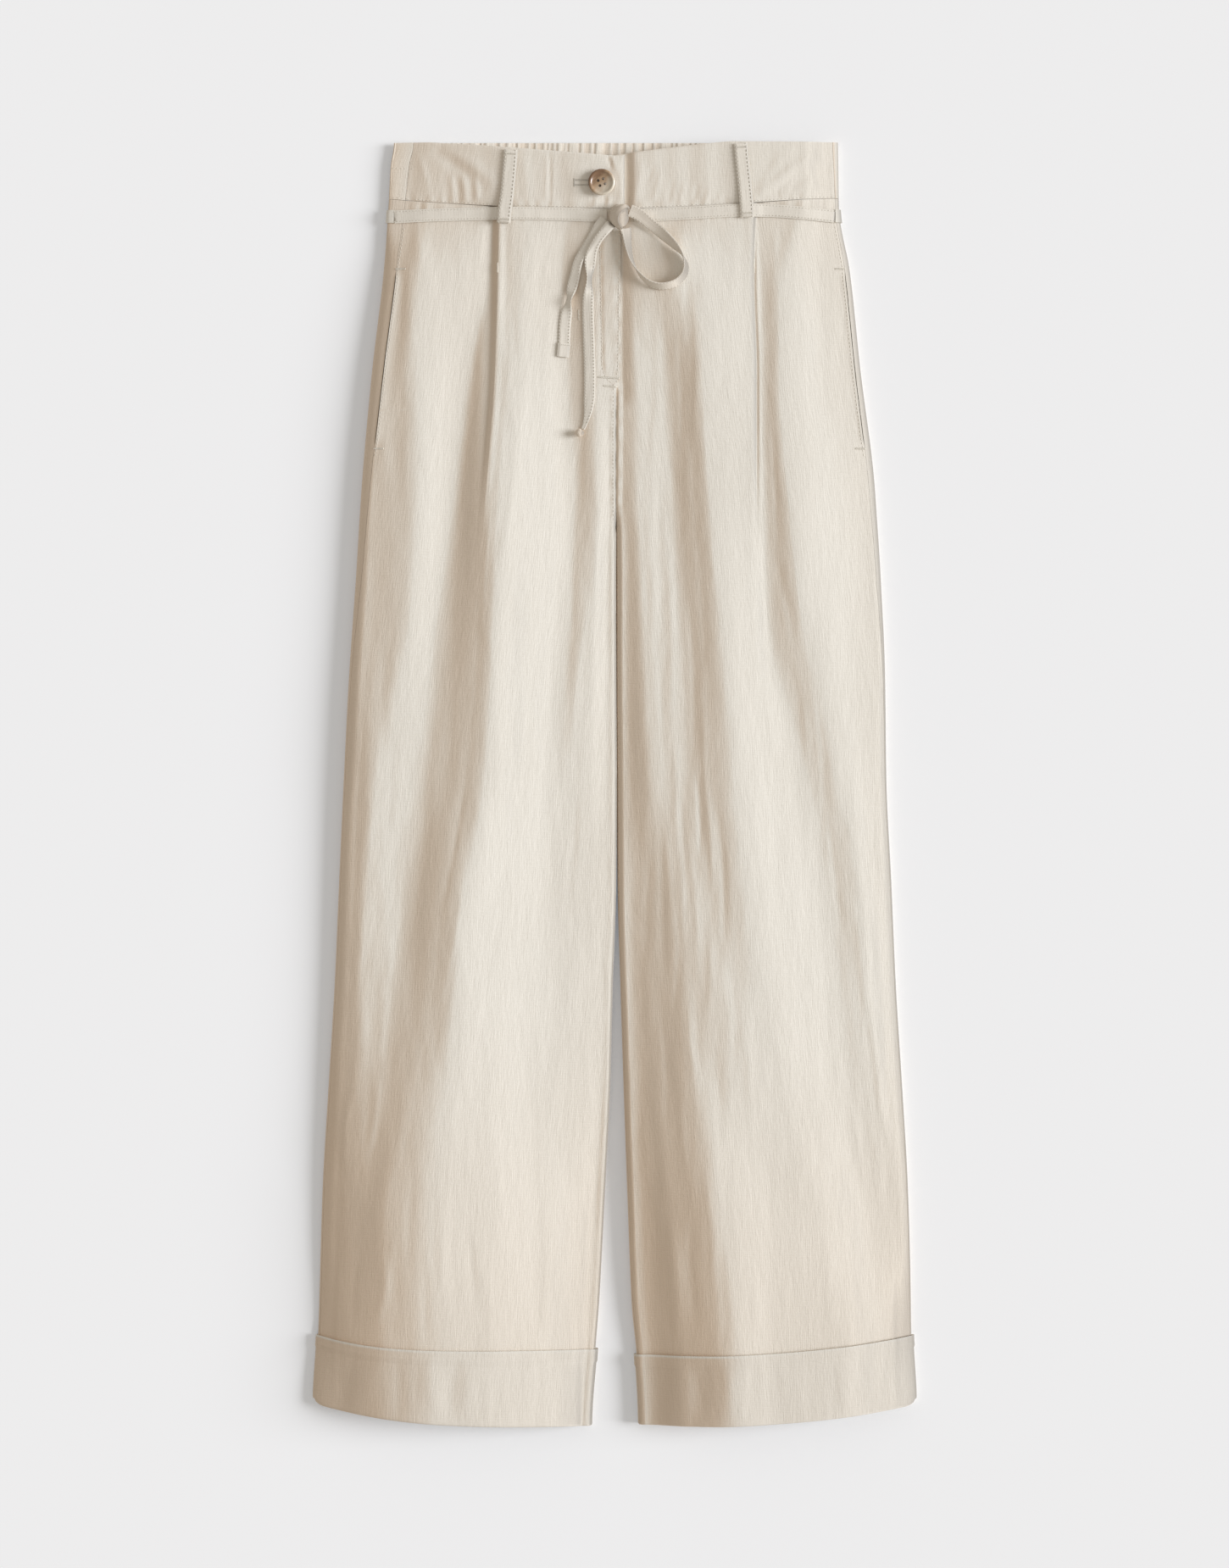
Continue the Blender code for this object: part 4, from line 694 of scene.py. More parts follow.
# rings of points joined into a tube, or into a band that closes on itself; the fourth argument weighs its painted
# warm shade
def ringSolid(name, rings, uvs, paintedShade, sharpAngle=0, closed=False):
    rings = np.asarray(rings, float)
    count, around = rings.shape[:2]
    faces = []
    for r in range(count if closed else count - 1):
        one, two = r * around, ((r + 1) % count) * around
        faces += [(one + k, one + n, two + n, two + k) for k, n in zip(range(around), [*range(1, around), 0])]
    if not closed:
        faces.append(tuple(range(around))[::-1])
        faces.append(tuple((count - 1) * around + k for k in range(around)))
    paintedShades = np.broadcast_to(paintedShade, rings.shape[:2]).ravel()
    thing = linkMesh(name, rings.reshape(-1, 3), faces, np.asarray(uvs).reshape(-1, 2), (("paintedShade", paintedShades),))
    fixNormals(thing)
    if sharpAngle:
        thing.data.set_sharp_from_angle(angle=math.radians(sharpAngle))
    return thing


# 0 to 1 as a face turns away from the window light; facing is the x of its normal
def awayFromLight(facing):
    return np.clip(0.08 - facing * 4.5, 0.0, 1.0)


# painted shade, 0 to 1: more where a place faces away from the light, where it lies deep and where it lies low on the
# leg
def paintedShadeOf(grid, normals):
    z = grid[:, :, 2]
    away = awayFromLight(normals[:, :, 0])
    deep = np.clip((15 * mm - z) / (6 * mm), 0.0, 1.0)
    low = ease(-120 * mm, -460 * mm, grid[:, :, 1])
    return np.clip(0.75 * away + 0.15 * deep + 0.25 * low, 0.0, 1.0)


# places across the front of a section: a fixed count of points between each two folds
def frontStations(cut, splits):
    t = trousers
    seamEnd = cut["seam"] - 0.5 * t["seam"] - t["mouthGape"] * cut["mouth"]
    innerEnd = cut["frontInner"] + t["inseamLip"] * cut["turn"]
    marks = [k[0] for k in cut["knots"]]
    if seamEnd < marks[0] + 1.0 * mm:
        marks[0] = 0.5 * (seamEnd + marks[1])
    marks = [seamEnd] + marks + [innerEnd]
    places = [marks[0]]
    for start, end, count in zip(marks, marks[1:], splits):
        places += [start + (end - start) * (k + 1) / count for k in range(count)]
    return np.array(places)


# pleats and fly of the two front panels
pleatFold = {"lip": {"right": 1.6 * mm, "left": 0.9 * mm}, "reach": {"right": 13 * mm, "left": 4.5 * mm},
             "lift": {"right": 0.5 * mm, "left": 0.15 * mm}, "width": 1.4 * mm, "crisp": (170 * mm, 300 * mm)}
flyStitch = {"curveTop": 345 * mm, "curveLow": 324 * mm, "width": 17.5 * mm}


# the crisp fold of the pleat: its edge stands over the cloth beside it
def pleatLip(side, cut, out, y):
    edge = cut["knots"][3][0]
    f = pleatFold
    d = np.asarray(out) - edge
    drop = ease(0.0, f["width"], d) * (1.0 - ease(f["width"], f["reach"][side], d))
    lift = hump(d, -1.5 * mm, 3.5 * mm)
    return float(ease(*f["crisp"], y)) * (f["lift"][side] * lift - f["lip"][side] * drop)


# no relief where a panel's two side edges are sewn
def edgeHold(out):
    return ease(0.5 * mm, 7 * mm, out[..., :1] - out) * ease(0.5 * mm, 7 * mm, out - out[..., -1:])


def frontGrid(side):
    t = trousers
    top, low = t["panelTopY"], t["panelEndY"]
    ys = np.linspace(top, low, int(round((top - low) / t["rowStep"])) + 1)
    outs, rows = [], []
    for y in ys:
        cut = legSection(side, float(y))
        out = frontStations(cut, t["frontSplits"])
        z = topHeight(cut, out) + pleatLip(side, cut, out, float(y))
        z = z + t["mouthGape"] * cut["mouth"] * hump(out, out[0], 3.0 * mm)
        rows.append(np.stack([cut["sign"] * out, rowY(cut, out), z], axis=1))
        outs.append(out)
    grid, outs, y = np.array(rows), np.array(outs), ys[:, None]
    relief = frontRelief(side, outs, y)
    fromSeam = outs[:, :1] - outs
    fromInner = outs - outs[:, -1:]
    relief = relief * edgeHold(outs)
    relief = relief * ease(-458 * mm, -440 * mm, y) * ease(473 * mm, 455 * mm, y)
    # sewing draws the cloth in a little along the front seam, the fly and the waist seam
    pucker = 0.16 * mm * ripple(y, 2.3 * mm, 17 * mm, 3.0)
    centreSeam = hump(fromInner, 0.0, 3.5 * mm) * ease(0.4 * mm, 1.4 * mm, fromInner)
    relief += pucker * centreSeam * (y > 210 * mm) * 1.2
    seamDip = ease(196 * mm, 214 * mm, y) * ease(326 * mm, 312 * mm, y)
    relief -= 0.9 * mm * seamDip * hump(fromInner, 0.0, 1.3 * mm)
    if side == "right":
        jLine = flyLineOut(y)
        groove = hump(outs, jLine, 1.3 * mm) * ease(322 * mm, 332 * mm, y)
        relief += (-0.2 * mm + 0.8 * pucker) * groove
        relief += 0.22 * mm * ease(jLine + 1 * mm, jLine - 3 * mm, outs) * ease(322 * mm, 340 * mm, y)
    waist = ripple(outs, 2.1 * mm, 13 * mm, 2.0) * hump(y, 468 * mm, 4.5 * mm)
    relief += 0.22 * mm * waist * ease(0, 8 * mm, fromSeam)
    grid[:, :, 2] += relief
    return grid


# distance of the fly's stitched line from the centre: straight, then curving in to the centre
def flyLineOut(y):
    f = flyStitch
    curve = np.clip((f["curveTop"] - y) / (f["curveTop"] - f["curveLow"]), 0.0, 1.0)
    return (10.2 + 1.6 * ease(330 * mm, 470 * mm, y)) * mm * np.sqrt(np.maximum(0.0, 1 - curve ** 2)) \
        + 1.0 * mm * curve


frontPieces = {side: clothShell("front_panel_" + side, frontGrid(side), trousers["cloth"],
                                (0.4 if side == "left" else 0.0, 0.0)) for side in sides}


# the two back panels: round the side edge, flat under the leg, up the inseam
def backOutline(cut, edgeSteps, flatSteps, innerSteps):
    t = trousers
    lift = cut["lift"]
    roll = cut["outer"] - t["edgeRoll"]
    start = cut["seam"] + 0.5 * t["seam"]
    power = 2.0 / cut["outerTurn"]
    firstAngle = math.acos(min(0.995, max(0.1, (start - roll) / t["edgeRoll"])) ** (1.0 / power))
    points = [(start, float(topHeight(cut, start)))]
    for k in range(1, edgeSteps + 1):
        angle = firstAngle + (-0.5 * math.pi - firstAngle) * k / edgeSteps
        bend = power if angle > 0 else 1.0
        out = roll + t["edgeRoll"] * math.cos(angle) ** bend
        half = 0.5 * (float(edgeTop(cut, out)) - lift)
        points.append((out, lift + half * (1 + math.copysign(abs(math.sin(angle)) ** bend, angle))))
    flatEnd = cut["inner"] + t["inseamRoll"]
    points += [(roll + (flatEnd - roll) * k / flatSteps, lift) for k in range(1, flatSteps + 1)]
    innerHalf = 0.5 * (cut["centreZ"] - lift)
    power = 2.0 / cut["innerTurn"]
    topShare = 1.0 - (t["inseamLip"] - t["seam"]) / t["inseamRoll"]
    lastAngle = math.pi - math.acos(topShare ** (1.0 / power))
    for k in range(1, innerSteps + 1):
        angle = -0.5 * math.pi - (1.5 * math.pi - lastAngle) * k / innerSteps
        rise, reach = math.sin(angle), math.cos(angle)
        bend = power if rise > 0 else 1.0
        rolled = (flatEnd - t["inseamRoll"] * abs(reach) ** bend,
                  lift + innerHalf * (1 + math.copysign(abs(rise) ** bend, rise)))
        plain = (flatEnd - t["inseamRoll"] * k / innerSteps, lift)
        points.append(tuple(p + (r - p) * cut["turn"] for p, r in zip(plain, rolled)))
    return np.array(points)


backPanel = {"edgeSteps": 12, "flatSteps": 40, "innerSteps": 9, "rowStep": 5.5 * mm}


def backGrid(side):
    t, b = trousers, backPanel
    top, low = t["panelTopY"], t["panelEndY"]
    ys = np.linspace(top, low, int((top - low) / b["rowStep"]))
    rows, outs = [], []
    for y in ys:
        cut = legSection(side, float(y))
        points = backOutline(cut, b["edgeSteps"], b["flatSteps"], b["innerSteps"])
        rows.append(np.stack([cut["sign"] * points[:, 0], rowY(cut, points[:, 0], True), points[:, 1]], axis=1))
        outs.append(points[:, 0])
    grid, outs = np.array(rows), np.array(outs)
    flatShare = np.zeros(grid.shape[1])
    first, last = b["edgeSteps"], b["edgeSteps"] + b["flatSteps"]
    flatShare[first:last + 1] = np.sin(np.pi * np.linspace(0, 1, last - first + 1)) ** 0.5
    groove = np.maximum(0.0, creaseHeight(backCreases[side], outs, ys[:, None]))
    groove += 0.25 * mm * np.maximum(0.0, wideCrumple(outs + 3.0, ys[:, None]))
    grid[:, :, 2] += groove * flatShare[None, :]
    return grid


backPieces = {side: clothShell("back_panel_" + side, backGrid(side), trousers["cloth"],
                               (0.9 if side == "left" else 1.5, 0.0), faceUp=False) for side in sides}


# a Geometry Nodes tree and the sockets that carry its inputs
def newTree(name, *inputs):
    tree = bpy.data.node_groups.new(name, "GeometryNodeTree")
    tree.interface.new_socket("Geometry", in_out="INPUT", socket_type="NodeSocketGeometry")
    for label, kind, value in inputs:
        socket = tree.interface.new_socket(label, in_out="INPUT", socket_type="NodeSocket" + kind)
        if value is not None:
            socket.default_value = value
    tree.interface.new_socket("Geometry", in_out="OUTPUT", socket_type="NodeSocketGeometry")
    return tree, tree.nodes.new("NodeGroupInput").outputs


# the end of a tree: copies become real, take their finish and leave by its output
def closeTree(tree, geometry, finish, smooth):
    real = makeNode(tree, "GeometryNodeRealizeInstances", {"Geometry": geometry}).outputs[0]
    if smooth:
        real = makeNode(tree, "GeometryNodeSetShadeSmooth", {"Geometry": real}).outputs[0]
    dressed = makeNode(tree, "GeometryNodeSetMaterial", {"Geometry": real, "Material": finish}).outputs[0]
    makeNode(tree, "NodeGroupOutput", {"Geometry": dressed})
    return tree


# stitches: a small drawn-out ball at each step of a path, turned with the cloth under it
def buildStitchTree():
    tree, given = newTree("threadStitches", ("Pitch", "Float", 3.0 * mm), ("Length", "Float", 2.2 * mm),
                          ("Thickness", "Float", 0.5 * mm), ("Turn", "Float", 0.0), ("Uneven", "Float", 0.08),
                          ("Seed", "Int", 5), ("Thread", "Material", None))

    def node(kind, inputs, output=0, **settings):
        return makeNode(tree, kind, inputs, **settings).outputs[output]
    curve = node("GeometryNodeMeshToCurve", {"Mesh": given["Geometry"]})
    curve = node("GeometryNodeResampleCurve", {"Curve": curve, "Length": given["Pitch"]}, mode="LENGTH")
    points = makeNode(tree, "GeometryNodeCurveToPoints", {"Curve": curve}, mode="EVALUATED").outputs
    ball = node("GeometryNodeMeshUVSphere", {"Segments": 6, "Rings": 4, "Radius": 0.5})
    size = node("ShaderNodeCombineXYZ", {"X": given["Length"], "Y": given["Thickness"], "Z": given["Thickness"]})
    ball = node("GeometryNodeTransform", {"Geometry": ball, "Scale": size})
    normal = node("GeometryNodeInputNamedAttribute", {"Name": "clothNormal"}, data_type="FLOAT_VECTOR")
    facing = node("FunctionNodeAlignRotationToVector", {"Vector": points["Tangent"]}, axis="X")
    facing = node("FunctionNodeAlignRotationToVector", {"Rotation": facing, "Vector": normal}, axis="Z",
                  pivot_axis="X")
    wobble = node("FunctionNodeRandomValue", {2: shaderMath(tree, "MULTIPLY", given["Uneven"], -1.0),
                                              3: given["Uneven"], "Seed": given["Seed"]}, 1, data_type="FLOAT")
    turn = node("ShaderNodeCombineXYZ", {"Z": shaderMath(tree, "ADD", wobble, given["Turn"])})
    turn = node("FunctionNodeEulerToRotation", {0: turn})
    facing = node("FunctionNodeRotateRotation", {0: facing, 1: turn}, rotation_space="LOCAL")
    copies = node("GeometryNodeInstanceOnPoints", {"Points": points["Points"], "Instance": ball,
                                                   "Rotation": facing})
    return closeTree(tree, copies, given["Thread"], True)


# gathers: a surface is raised in even, slightly uneven ribs
def buildGatherTree():
    tree, given = newTree("elasticGathers", ("Depth", "Float", 1.3 * mm), ("Uneven", "Float", 0.35),
                          ("Cloth", "Material", None))
    phase, share = (makeNode(tree, "GeometryNodeInputNamedAttribute", {"Name": name},
                             data_type="FLOAT").outputs["Attribute"] for name in ("gatherPhase", "gatherShare"))
    noise = makeNode(tree, "ShaderNodeTexNoise", {"W": phase, "Scale": 0.9, "Detail": 1.0},
                     noise_dimensions="1D").outputs["Fac"]
    turns = shaderMath(tree, "MULTIPLY", weighed(tree, phase, (noise, 1.6)), 2 * math.pi)
    rise = weighed(tree, 0.5, (shaderMath(tree, "COSINE", turns), -0.5))
    level = shaderMath(tree, "SUBTRACT", 1.0, shaderMath(tree, "MULTIPLY", noise, given["Uneven"]))
    for factor in (level, given["Depth"], share):
        rise = shaderMath(tree, "MULTIPLY", rise, factor)
    up = makeNode(tree, "ShaderNodeCombineXYZ", {"Z": rise}).outputs[0]
    raised = makeNode(tree, "GeometryNodeSetPosition", {"Geometry": given["Geometry"], "Offset": up})
    return closeTree(tree, raised.outputs[0], given["Cloth"], False)


stitchTree, gatherTree = buildStitchTree(), buildGatherTree()


# run a tree on an object and keep the result as a plain mesh object
def bakeNodes(thing, tree, values, name):
    modifier = thing.modifiers.new("nodes", "NODES")
    modifier.node_group = tree
    for item in tree.interface.items_tree:
        if item.item_type == "SOCKET" and item.in_out == "INPUT" and item.name in values:
            modifier[item.identifier] = values[item.name]
    mesh = evaluatedMesh(thing)
    thing.modifiers.remove(modifier)
    mesh.name = name
    baked = addObject(name, mesh)
    old = thing.data
    bpy.data.objects.remove(thing, do_unlink=True)
    bpy.data.meshes.remove(old)
    return baked


# finding the cloth under a place
def treeOf(things):
    points, faces = [], []
    for thing in things:
        base = len(points)
        points += [v.co.copy() for v in thing.data.vertices]
        faces += [tuple(base + i for i in f.vertices) for f in thing.data.polygons]
    return BVHTree.FromPolygons(points, faces)


def hitOn(tree, x, y):
    place, normal, _, _ = tree.ray_cast(Vector((x, y, 0.1)), Vector((0, 0, -1)))
    if place is None:
        return 0.0, Vector((0, 0, 1))
    return place.z, normal if normal.z > 0 else -normal


def heightOn(tree, x, y, spread):
    steps = (-spread, 0.0, spread)
    return max([0.0] + [hitOn(tree, x + dx, y + dy)[0] for dx in steps for dy in steps])


# evenly spaced places on a smooth line through the given ones
def curveThrough(points, step):
    points = [Vector(p) for p in points]
    points = [2 * points[0] - points[1]] + points + [2 * points[-1] - points[-2]]
    dense = []
    for a, b, c, d in zip(points, points[1:], points[2:], points[3:]):
        for k in range(16):
            t = k / 16
            dense.append(0.5 * (2 * b + (c - a) * t + (2 * a - 5 * b + 4 * c - d) * t * t
                                + (3 * b - a - 3 * c + d) * t ** 3))
    dense.append(points[-2])
    lengths = [0.0]
    for a, b in zip(dense, dense[1:]):
        lengths.append(lengths[-1] + (b - a).length)
    count = max(2, round(lengths[-1] / step))
    result, index = [], 0
    for k in range(count + 1):
        goal = lengths[-1] * k / count
        while index < len(lengths) - 2 and lengths[index + 1] < goal:
            index += 1
        share = (goal - lengths[index]) / max(1e-9, lengths[index + 1] - lengths[index])
        result.append(dense[index].lerp(dense[index + 1], share))
    return result


stitchRows = []
anyStitch = {"Pitch": 3.0 * mm, "Length": 2.3 * mm, "Thickness": 0.5 * mm}


def stitchPath(points, normals, name, **values):
    mesh = bpy.data.meshes.new(name)
    mesh.from_pydata([tuple(p) for p in points], [(k, k + 1) for k in range(len(points) - 1)], [])
    attribute = mesh.attributes.new("clothNormal", "FLOAT_VECTOR", "POINT")
    attribute.data.foreach_set("vector", np.array([tuple(n) for n in normals], np.float32).ravel())
    settings = {**anyStitch, "Thread": threadFinish, "Seed": len(stitchRows) + 3, **values}
    stitchRows.append(bakeNodes(addObject(name + "_path", mesh), stitchTree, settings, name))


# a row of stitches over the cloth, through places (x, y) in metres
def stitchRow(places, name, lift=0.12 * mm, step=1.5 * mm, **values):
    if len(places) > 2:
        line = curveThrough([(x, y, 0.0) for x, y in places], step)
    else:
        line = [Vector((*places[0], 0)).lerp(Vector((*places[1], 0)), k / 40) for k in range(41)]
    hits = [(p, *hitOn(topTree, p.x, p.y)) for p in line]
    hits = [(p, z, normal) for p, z, normal in hits if z > 0.0]
    stitchPath([(p.x, p.y, z + lift) for p, z, _ in hits], [normal for _, _, normal in hits], name, **values)


# front waistband, two pieces; the right one laps over the left
waistband = {
    "cloth": 1.3 * mm, "lap": 8.0 * mm, "under": -22.0 * mm, "drop": 2.3 * mm, "rows": 26,
    "edgePlace": (171 * mm, 11.6 * mm), "roundFrom": 156 * mm, "crest": 0.5 * mm, "columnStep": 1.45 * mm,
    "foldShare": 0.6, "edgeStep": 0.4 * mm, "edgeDrop": (0.45 * mm, 0.12 * mm),
}
# drag folds in the band: from (x, y) to (x, y) in mm, half width, height
bandFolds = {
    "right": (
        (-148, 513, -104, 480, 5, -0.75), (-139, 515, -95, 484, 5.5, 0.75), (-133, 494, -131, 470, 2.2, 0.5),
        (-128, 492, -126, 470, 2, -0.35), (-123, 494, -121, 471, 2.2, 0.45), (-113, 492, -111, 470, 2.4, 0.5),
        (-117, 490, -116, 470, 2, -0.3), (-160, 512, -150, 476, 3, 0.3), (-52.5, 512, -53.2, 466, 1.3, -0.55),
        (-54.8, 510, -55.6, 466, 1.8, 0.3), (-75, 508, -70, 470, 4, 0.22), (-36, 506, -33, 468, 5, 0.25),
        (-15, 475, -16, 466, 1.7, 0.6), (-8.6, 476, -8.4, 466, 1.6, -0.5), (-5, 476, -5.2, 466, 1.8, 0.5),
        (-5.5, 507, -2.5, 497, 1.2, -0.9), (-2.5, 507, 1, 494, 1.8, 0.5), (2.5, 505, 5.2, 468, 2.4, 0.45),
        (-1.5, 494, 0.6, 478, 2, 0.35), (-30, 486, -24, 485.5, 1.6, -0.25),
    ),
    "left": (
        (116, 475, 164, 510, 4.5, 0.85), (120, 473, 178, 500, 4, -0.55), (116, 478, 142, 513, 4, 0.4),
        (129, 474, 150, 490, 2.4, 0.35), (134, 472, 132, 482, 1.6, -0.3), (139, 472, 141, 484, 1.8, 0.35),
        (84, 478, 86, 468, 1.6, 0.3), (76, 482, 73, 468, 1.8, 0.32), (67, 486, 63, 468, 1.8, -0.3),
        (57, 488, 52, 468, 2, 0.35), (47, 490, 42, 467, 1.8, -0.3), (38, 496, 30, 470, 2.2, 0.3),
        (31, 500, 26, 486, 1.4, -0.25), (22, 506, 16, 470, 3, 0.35), (13, 507, 11, 468, 2.2, -0.3),
        (155, 512, 168, 478, 3, -0.3), (95, 508, 97, 474, 3.5, 0.2),
    ),
}


def foldHeight(rows, x, y):
    total = np.zeros(np.broadcast(x, y).shape)
    for x1, y1, x2, y2, width, height in rows:
        dx, dy = (x2 - x1) * mm, (y2 - y1) * mm
        length = math.hypot(dx, dy)
        s = ((x - x1 * mm) * dx + (y - y1 * mm) * dy) / length ** 2
        off = ((x - x1 * mm) * dy - (y - y1 * mm) * dx) / length / (width * mm)
        off = off + 0.35 * np.sin(3.0 * s)
        total += height * mm * np.exp(-off * off) * np.sin(np.pi * np.clip(s, 0, 1)) ** 0.6
    return total


def bandBase(side, out):
    along = sectionCurves[side]
    top = trousers["waistTopY"]
    knots = [waistband["edgePlace"]]
    for name in ("outerRidge", "pleatEdge", "mainRidge", "shoulder", "innerRidge"):
        knots.append((float(along[name](top)), float(along[name + "Z"](top))))
    knots.append((0.0, float(along["centreZ"](top))))
    height = softCurve(knots)(out)
    if side == "left":
        height = height - waistband["drop"] * (1.0 - ease(9.0 * mm, 17.0 * mm, out))
    return height


def bandY(side, y, out):
    t = trousers
    share = (y - t["waistSeamY"]) / (t["waistTopY"] - t["waistSeamY"])
    depth, power, width = waistTopDip[side]
    high = depth * mm * (1 - np.clip(out / (width * mm), 0.0, 1.0)) ** power
    return y - waistSag(side, out) * (1 - share) - high * share


def frontBandGrid(side):
    t, w = trousers, waistband
    end = -w["lap"] if side == "right" else w["under"]
    rows = []
    ys = np.linspace(t["waistSeamY"], t["waistTopY"], w["rows"])
    ys = np.concatenate([[ys[0], ys[0] + w["edgeStep"]], ys[1:-1], [ys[-1] - w["edgeStep"], ys[-1]]])
    for y in ys:
        cut = legSection(side, float(y))
        seamEnd = cut["seam"] - 0.5 * t["seam"]
        count = int((180 * mm - end) / w["columnStep"])
        out = seamEnd + (end - seamEnd) * np.linspace(0, 1, count)
        out = np.concatenate([[out[0], out[0] - w["edgeStep"]], out[1:-1], [out[-1] + w["edgeStep"], out[-1]]])
        z = bandBase(side, out) + w["crest"] * ease(t["waistSeamY"], t["waistTopY"], y)
        z = z + (topHeight(cut, out) - z) * ease(128 * mm, w["roundFrom"], out)
        rows.append(np.stack([cut["sign"] * out, bandY(side, y, out), z], axis=1))
    grid = np.array(rows)
    x, y = grid[:, :, 0], grid[:, :, 1]
    fade = ease(0.3 * mm, 5 * mm, np.abs(grid[:, :1, 0] - x))
    relief = w["foldShare"] * foldHeight(bandFolds[side], x, y)
    relief += 0.16 * mm * midCrumple(x + 5.0, y) + 0.08 * mm * fineCrumple(x + 5.0, y)
    # the seam below and the folded edge above draw the band in
    low = grid[:1, :, 1]
    relief += 0.12 * mm * ripple(x, 1.9 * mm, 11 * mm, 2.2) * hump(y - low, 2.5 * mm, 3.0 * mm)
    relief -= 0.35 * mm * hump(y - low, 1.2 * mm, 0.7 * mm)
    grid[:, :, 2] += relief * fade
    # folded edges are rounded
    edge, next = w["edgeDrop"]
    grid[[0, -1], :, 2] -= edge
    grid[[1, -2], :, 2] -= next
    grid[:, -1, 2] -= edge
    grid[:, -2, 2] -= next
    return grid


bandPieces = {side: clothShell("front_band_" + side, frontBandGrid(side), waistband["cloth"],
                               (2.1 if side == "left" else 2.6, 0.3), warmShade=0.9) for side in sides}


# elastic back waistband: gathers on both faces, flat where it turns up at the sides
elasticBand = {"gathers": 46, "perGather": 10, "depth": 0.75 * mm, "base": 1.2 * mm, "rows": 15, "under": -0.28,
               "cloth": 1.3 * mm, "edgeSteps": 10, "fadeIn": 30, "sharpAngle": 60, "sideFrom": 150 * mm}


def backBandPiece():
    t, e = trousers, elasticBand
    flatCount, n = e["gathers"] * e["perGather"], e["edgeSteps"] + 1
    steps = np.arange(1, flatCount)
    outer, inner = [], []
    for y in np.linspace(t["waistSeamY"], t["waistTopY"], e["rows"]):
        ends = {}
        for side in sides:
            cut = legSection(side, float(y))
            points = backOutline(cut, e["edgeSteps"], 1, 1)[:n]
            low = float(1.0 - ease(t["waistSeamY"], 497 * mm, y))
            place = y - low * waistSag(side, np.maximum(points[:, 0], cut["seam"]))
            ends[side] = [np.stack([cut["sign"] * p[:, 0], place, p[:, 1]], axis=1)
                          for p in (points, points - lineNormals(points) * e["cloth"])]
        start, end = ends["left"][0][-1], ends["right"][0][-1]
        flat = start + (end - start) * (steps / flatCount)[:, None]
        flat[:, 2] = start[2]
        for rows, face, lift in ((outer, 0, 0.0), (inner, 1, e["base"])):
            rows.append(np.concatenate([ends["left"][face], flat + (0, 0, lift), ends["right"][face][::-1]]))
    outer, inner = np.array(outer), np.array(inner)
    # where each station lies in the run of gathers, and how far they rise there
    phase = np.concatenate([np.zeros(n), steps / e["perGather"], np.full(n, e["gathers"])])
    share = np.pad(np.minimum(1, np.minimum(steps, flatCount - steps) / e["fadeIn"]), n)
    phase, share = (np.broadcast_to(line, outer.shape[:2]).ravel() for line in (phase, share))
    inner[[0, -1], :, 2] -= 0.25 * mm * (share.reshape(outer.shape[:2])[[0, -1]] > 0)
    faces, _ = wallFaces(*outer.shape[:2])
    uv = np.stack([runLengths(outer) * 1.25 + 3.1, outer[:, :, 1]], axis=2).reshape(-1, 2)
    band = linkMesh("waistband_back_flat", np.concatenate([outer.reshape(-1, 3), inner.reshape(-1, 3)]), faces,
                    np.concatenate([uv, uv]), (("gatherPhase", np.concatenate([phase, phase])),
                                               ("gatherShare", np.concatenate([share * e["under"], share])),
                                               ("paintedShade", np.zeros(2 * len(share)))))
    fixNormals(band)
    band = bakeNodes(band, gatherTree, {"Depth": e["depth"], "Cloth": linenPaintedLight}, "waistband_back_gathered")
    band["midArea"] = gridArea(outer)
    band.data.shade_smooth()
    band.data.set_sharp_from_angle(angle=math.radians(e["sharpAngle"]))
    # painted warm shade in the valleys between the gathers and on the flanks at the sides that face from the light
    xs, zs, facing = (np.array(values) for values in
                      zip(*((v.co.x, v.co.z, v.normal.x) for v in band.data.vertices)))
    valley = 1.0 - (zs[len(share):] - inner.reshape(-1, 3)[:, 2] - 0.1 * mm) / (0.6 * mm)
    paintedShade = np.concatenate([np.zeros(len(share)), 0.45 * np.clip(valley, 0, 1) * (share > 0)])
    flank = 0.9 * np.clip(0.75 * awayFromLight(facing) + 0.1, 0, 1)
    paintedShade = np.where(np.abs(xs) > e["sideFrom"], flank, paintedShade)
    band.data.attributes["paintedShade"].data.foreach_set("value", paintedShade.astype(np.float32))
    return band


backBand = backBandPiece()
print("elastic back waistband", len(backBand.data.polygons), "faces, area", round(backBand["midArea"], 4))


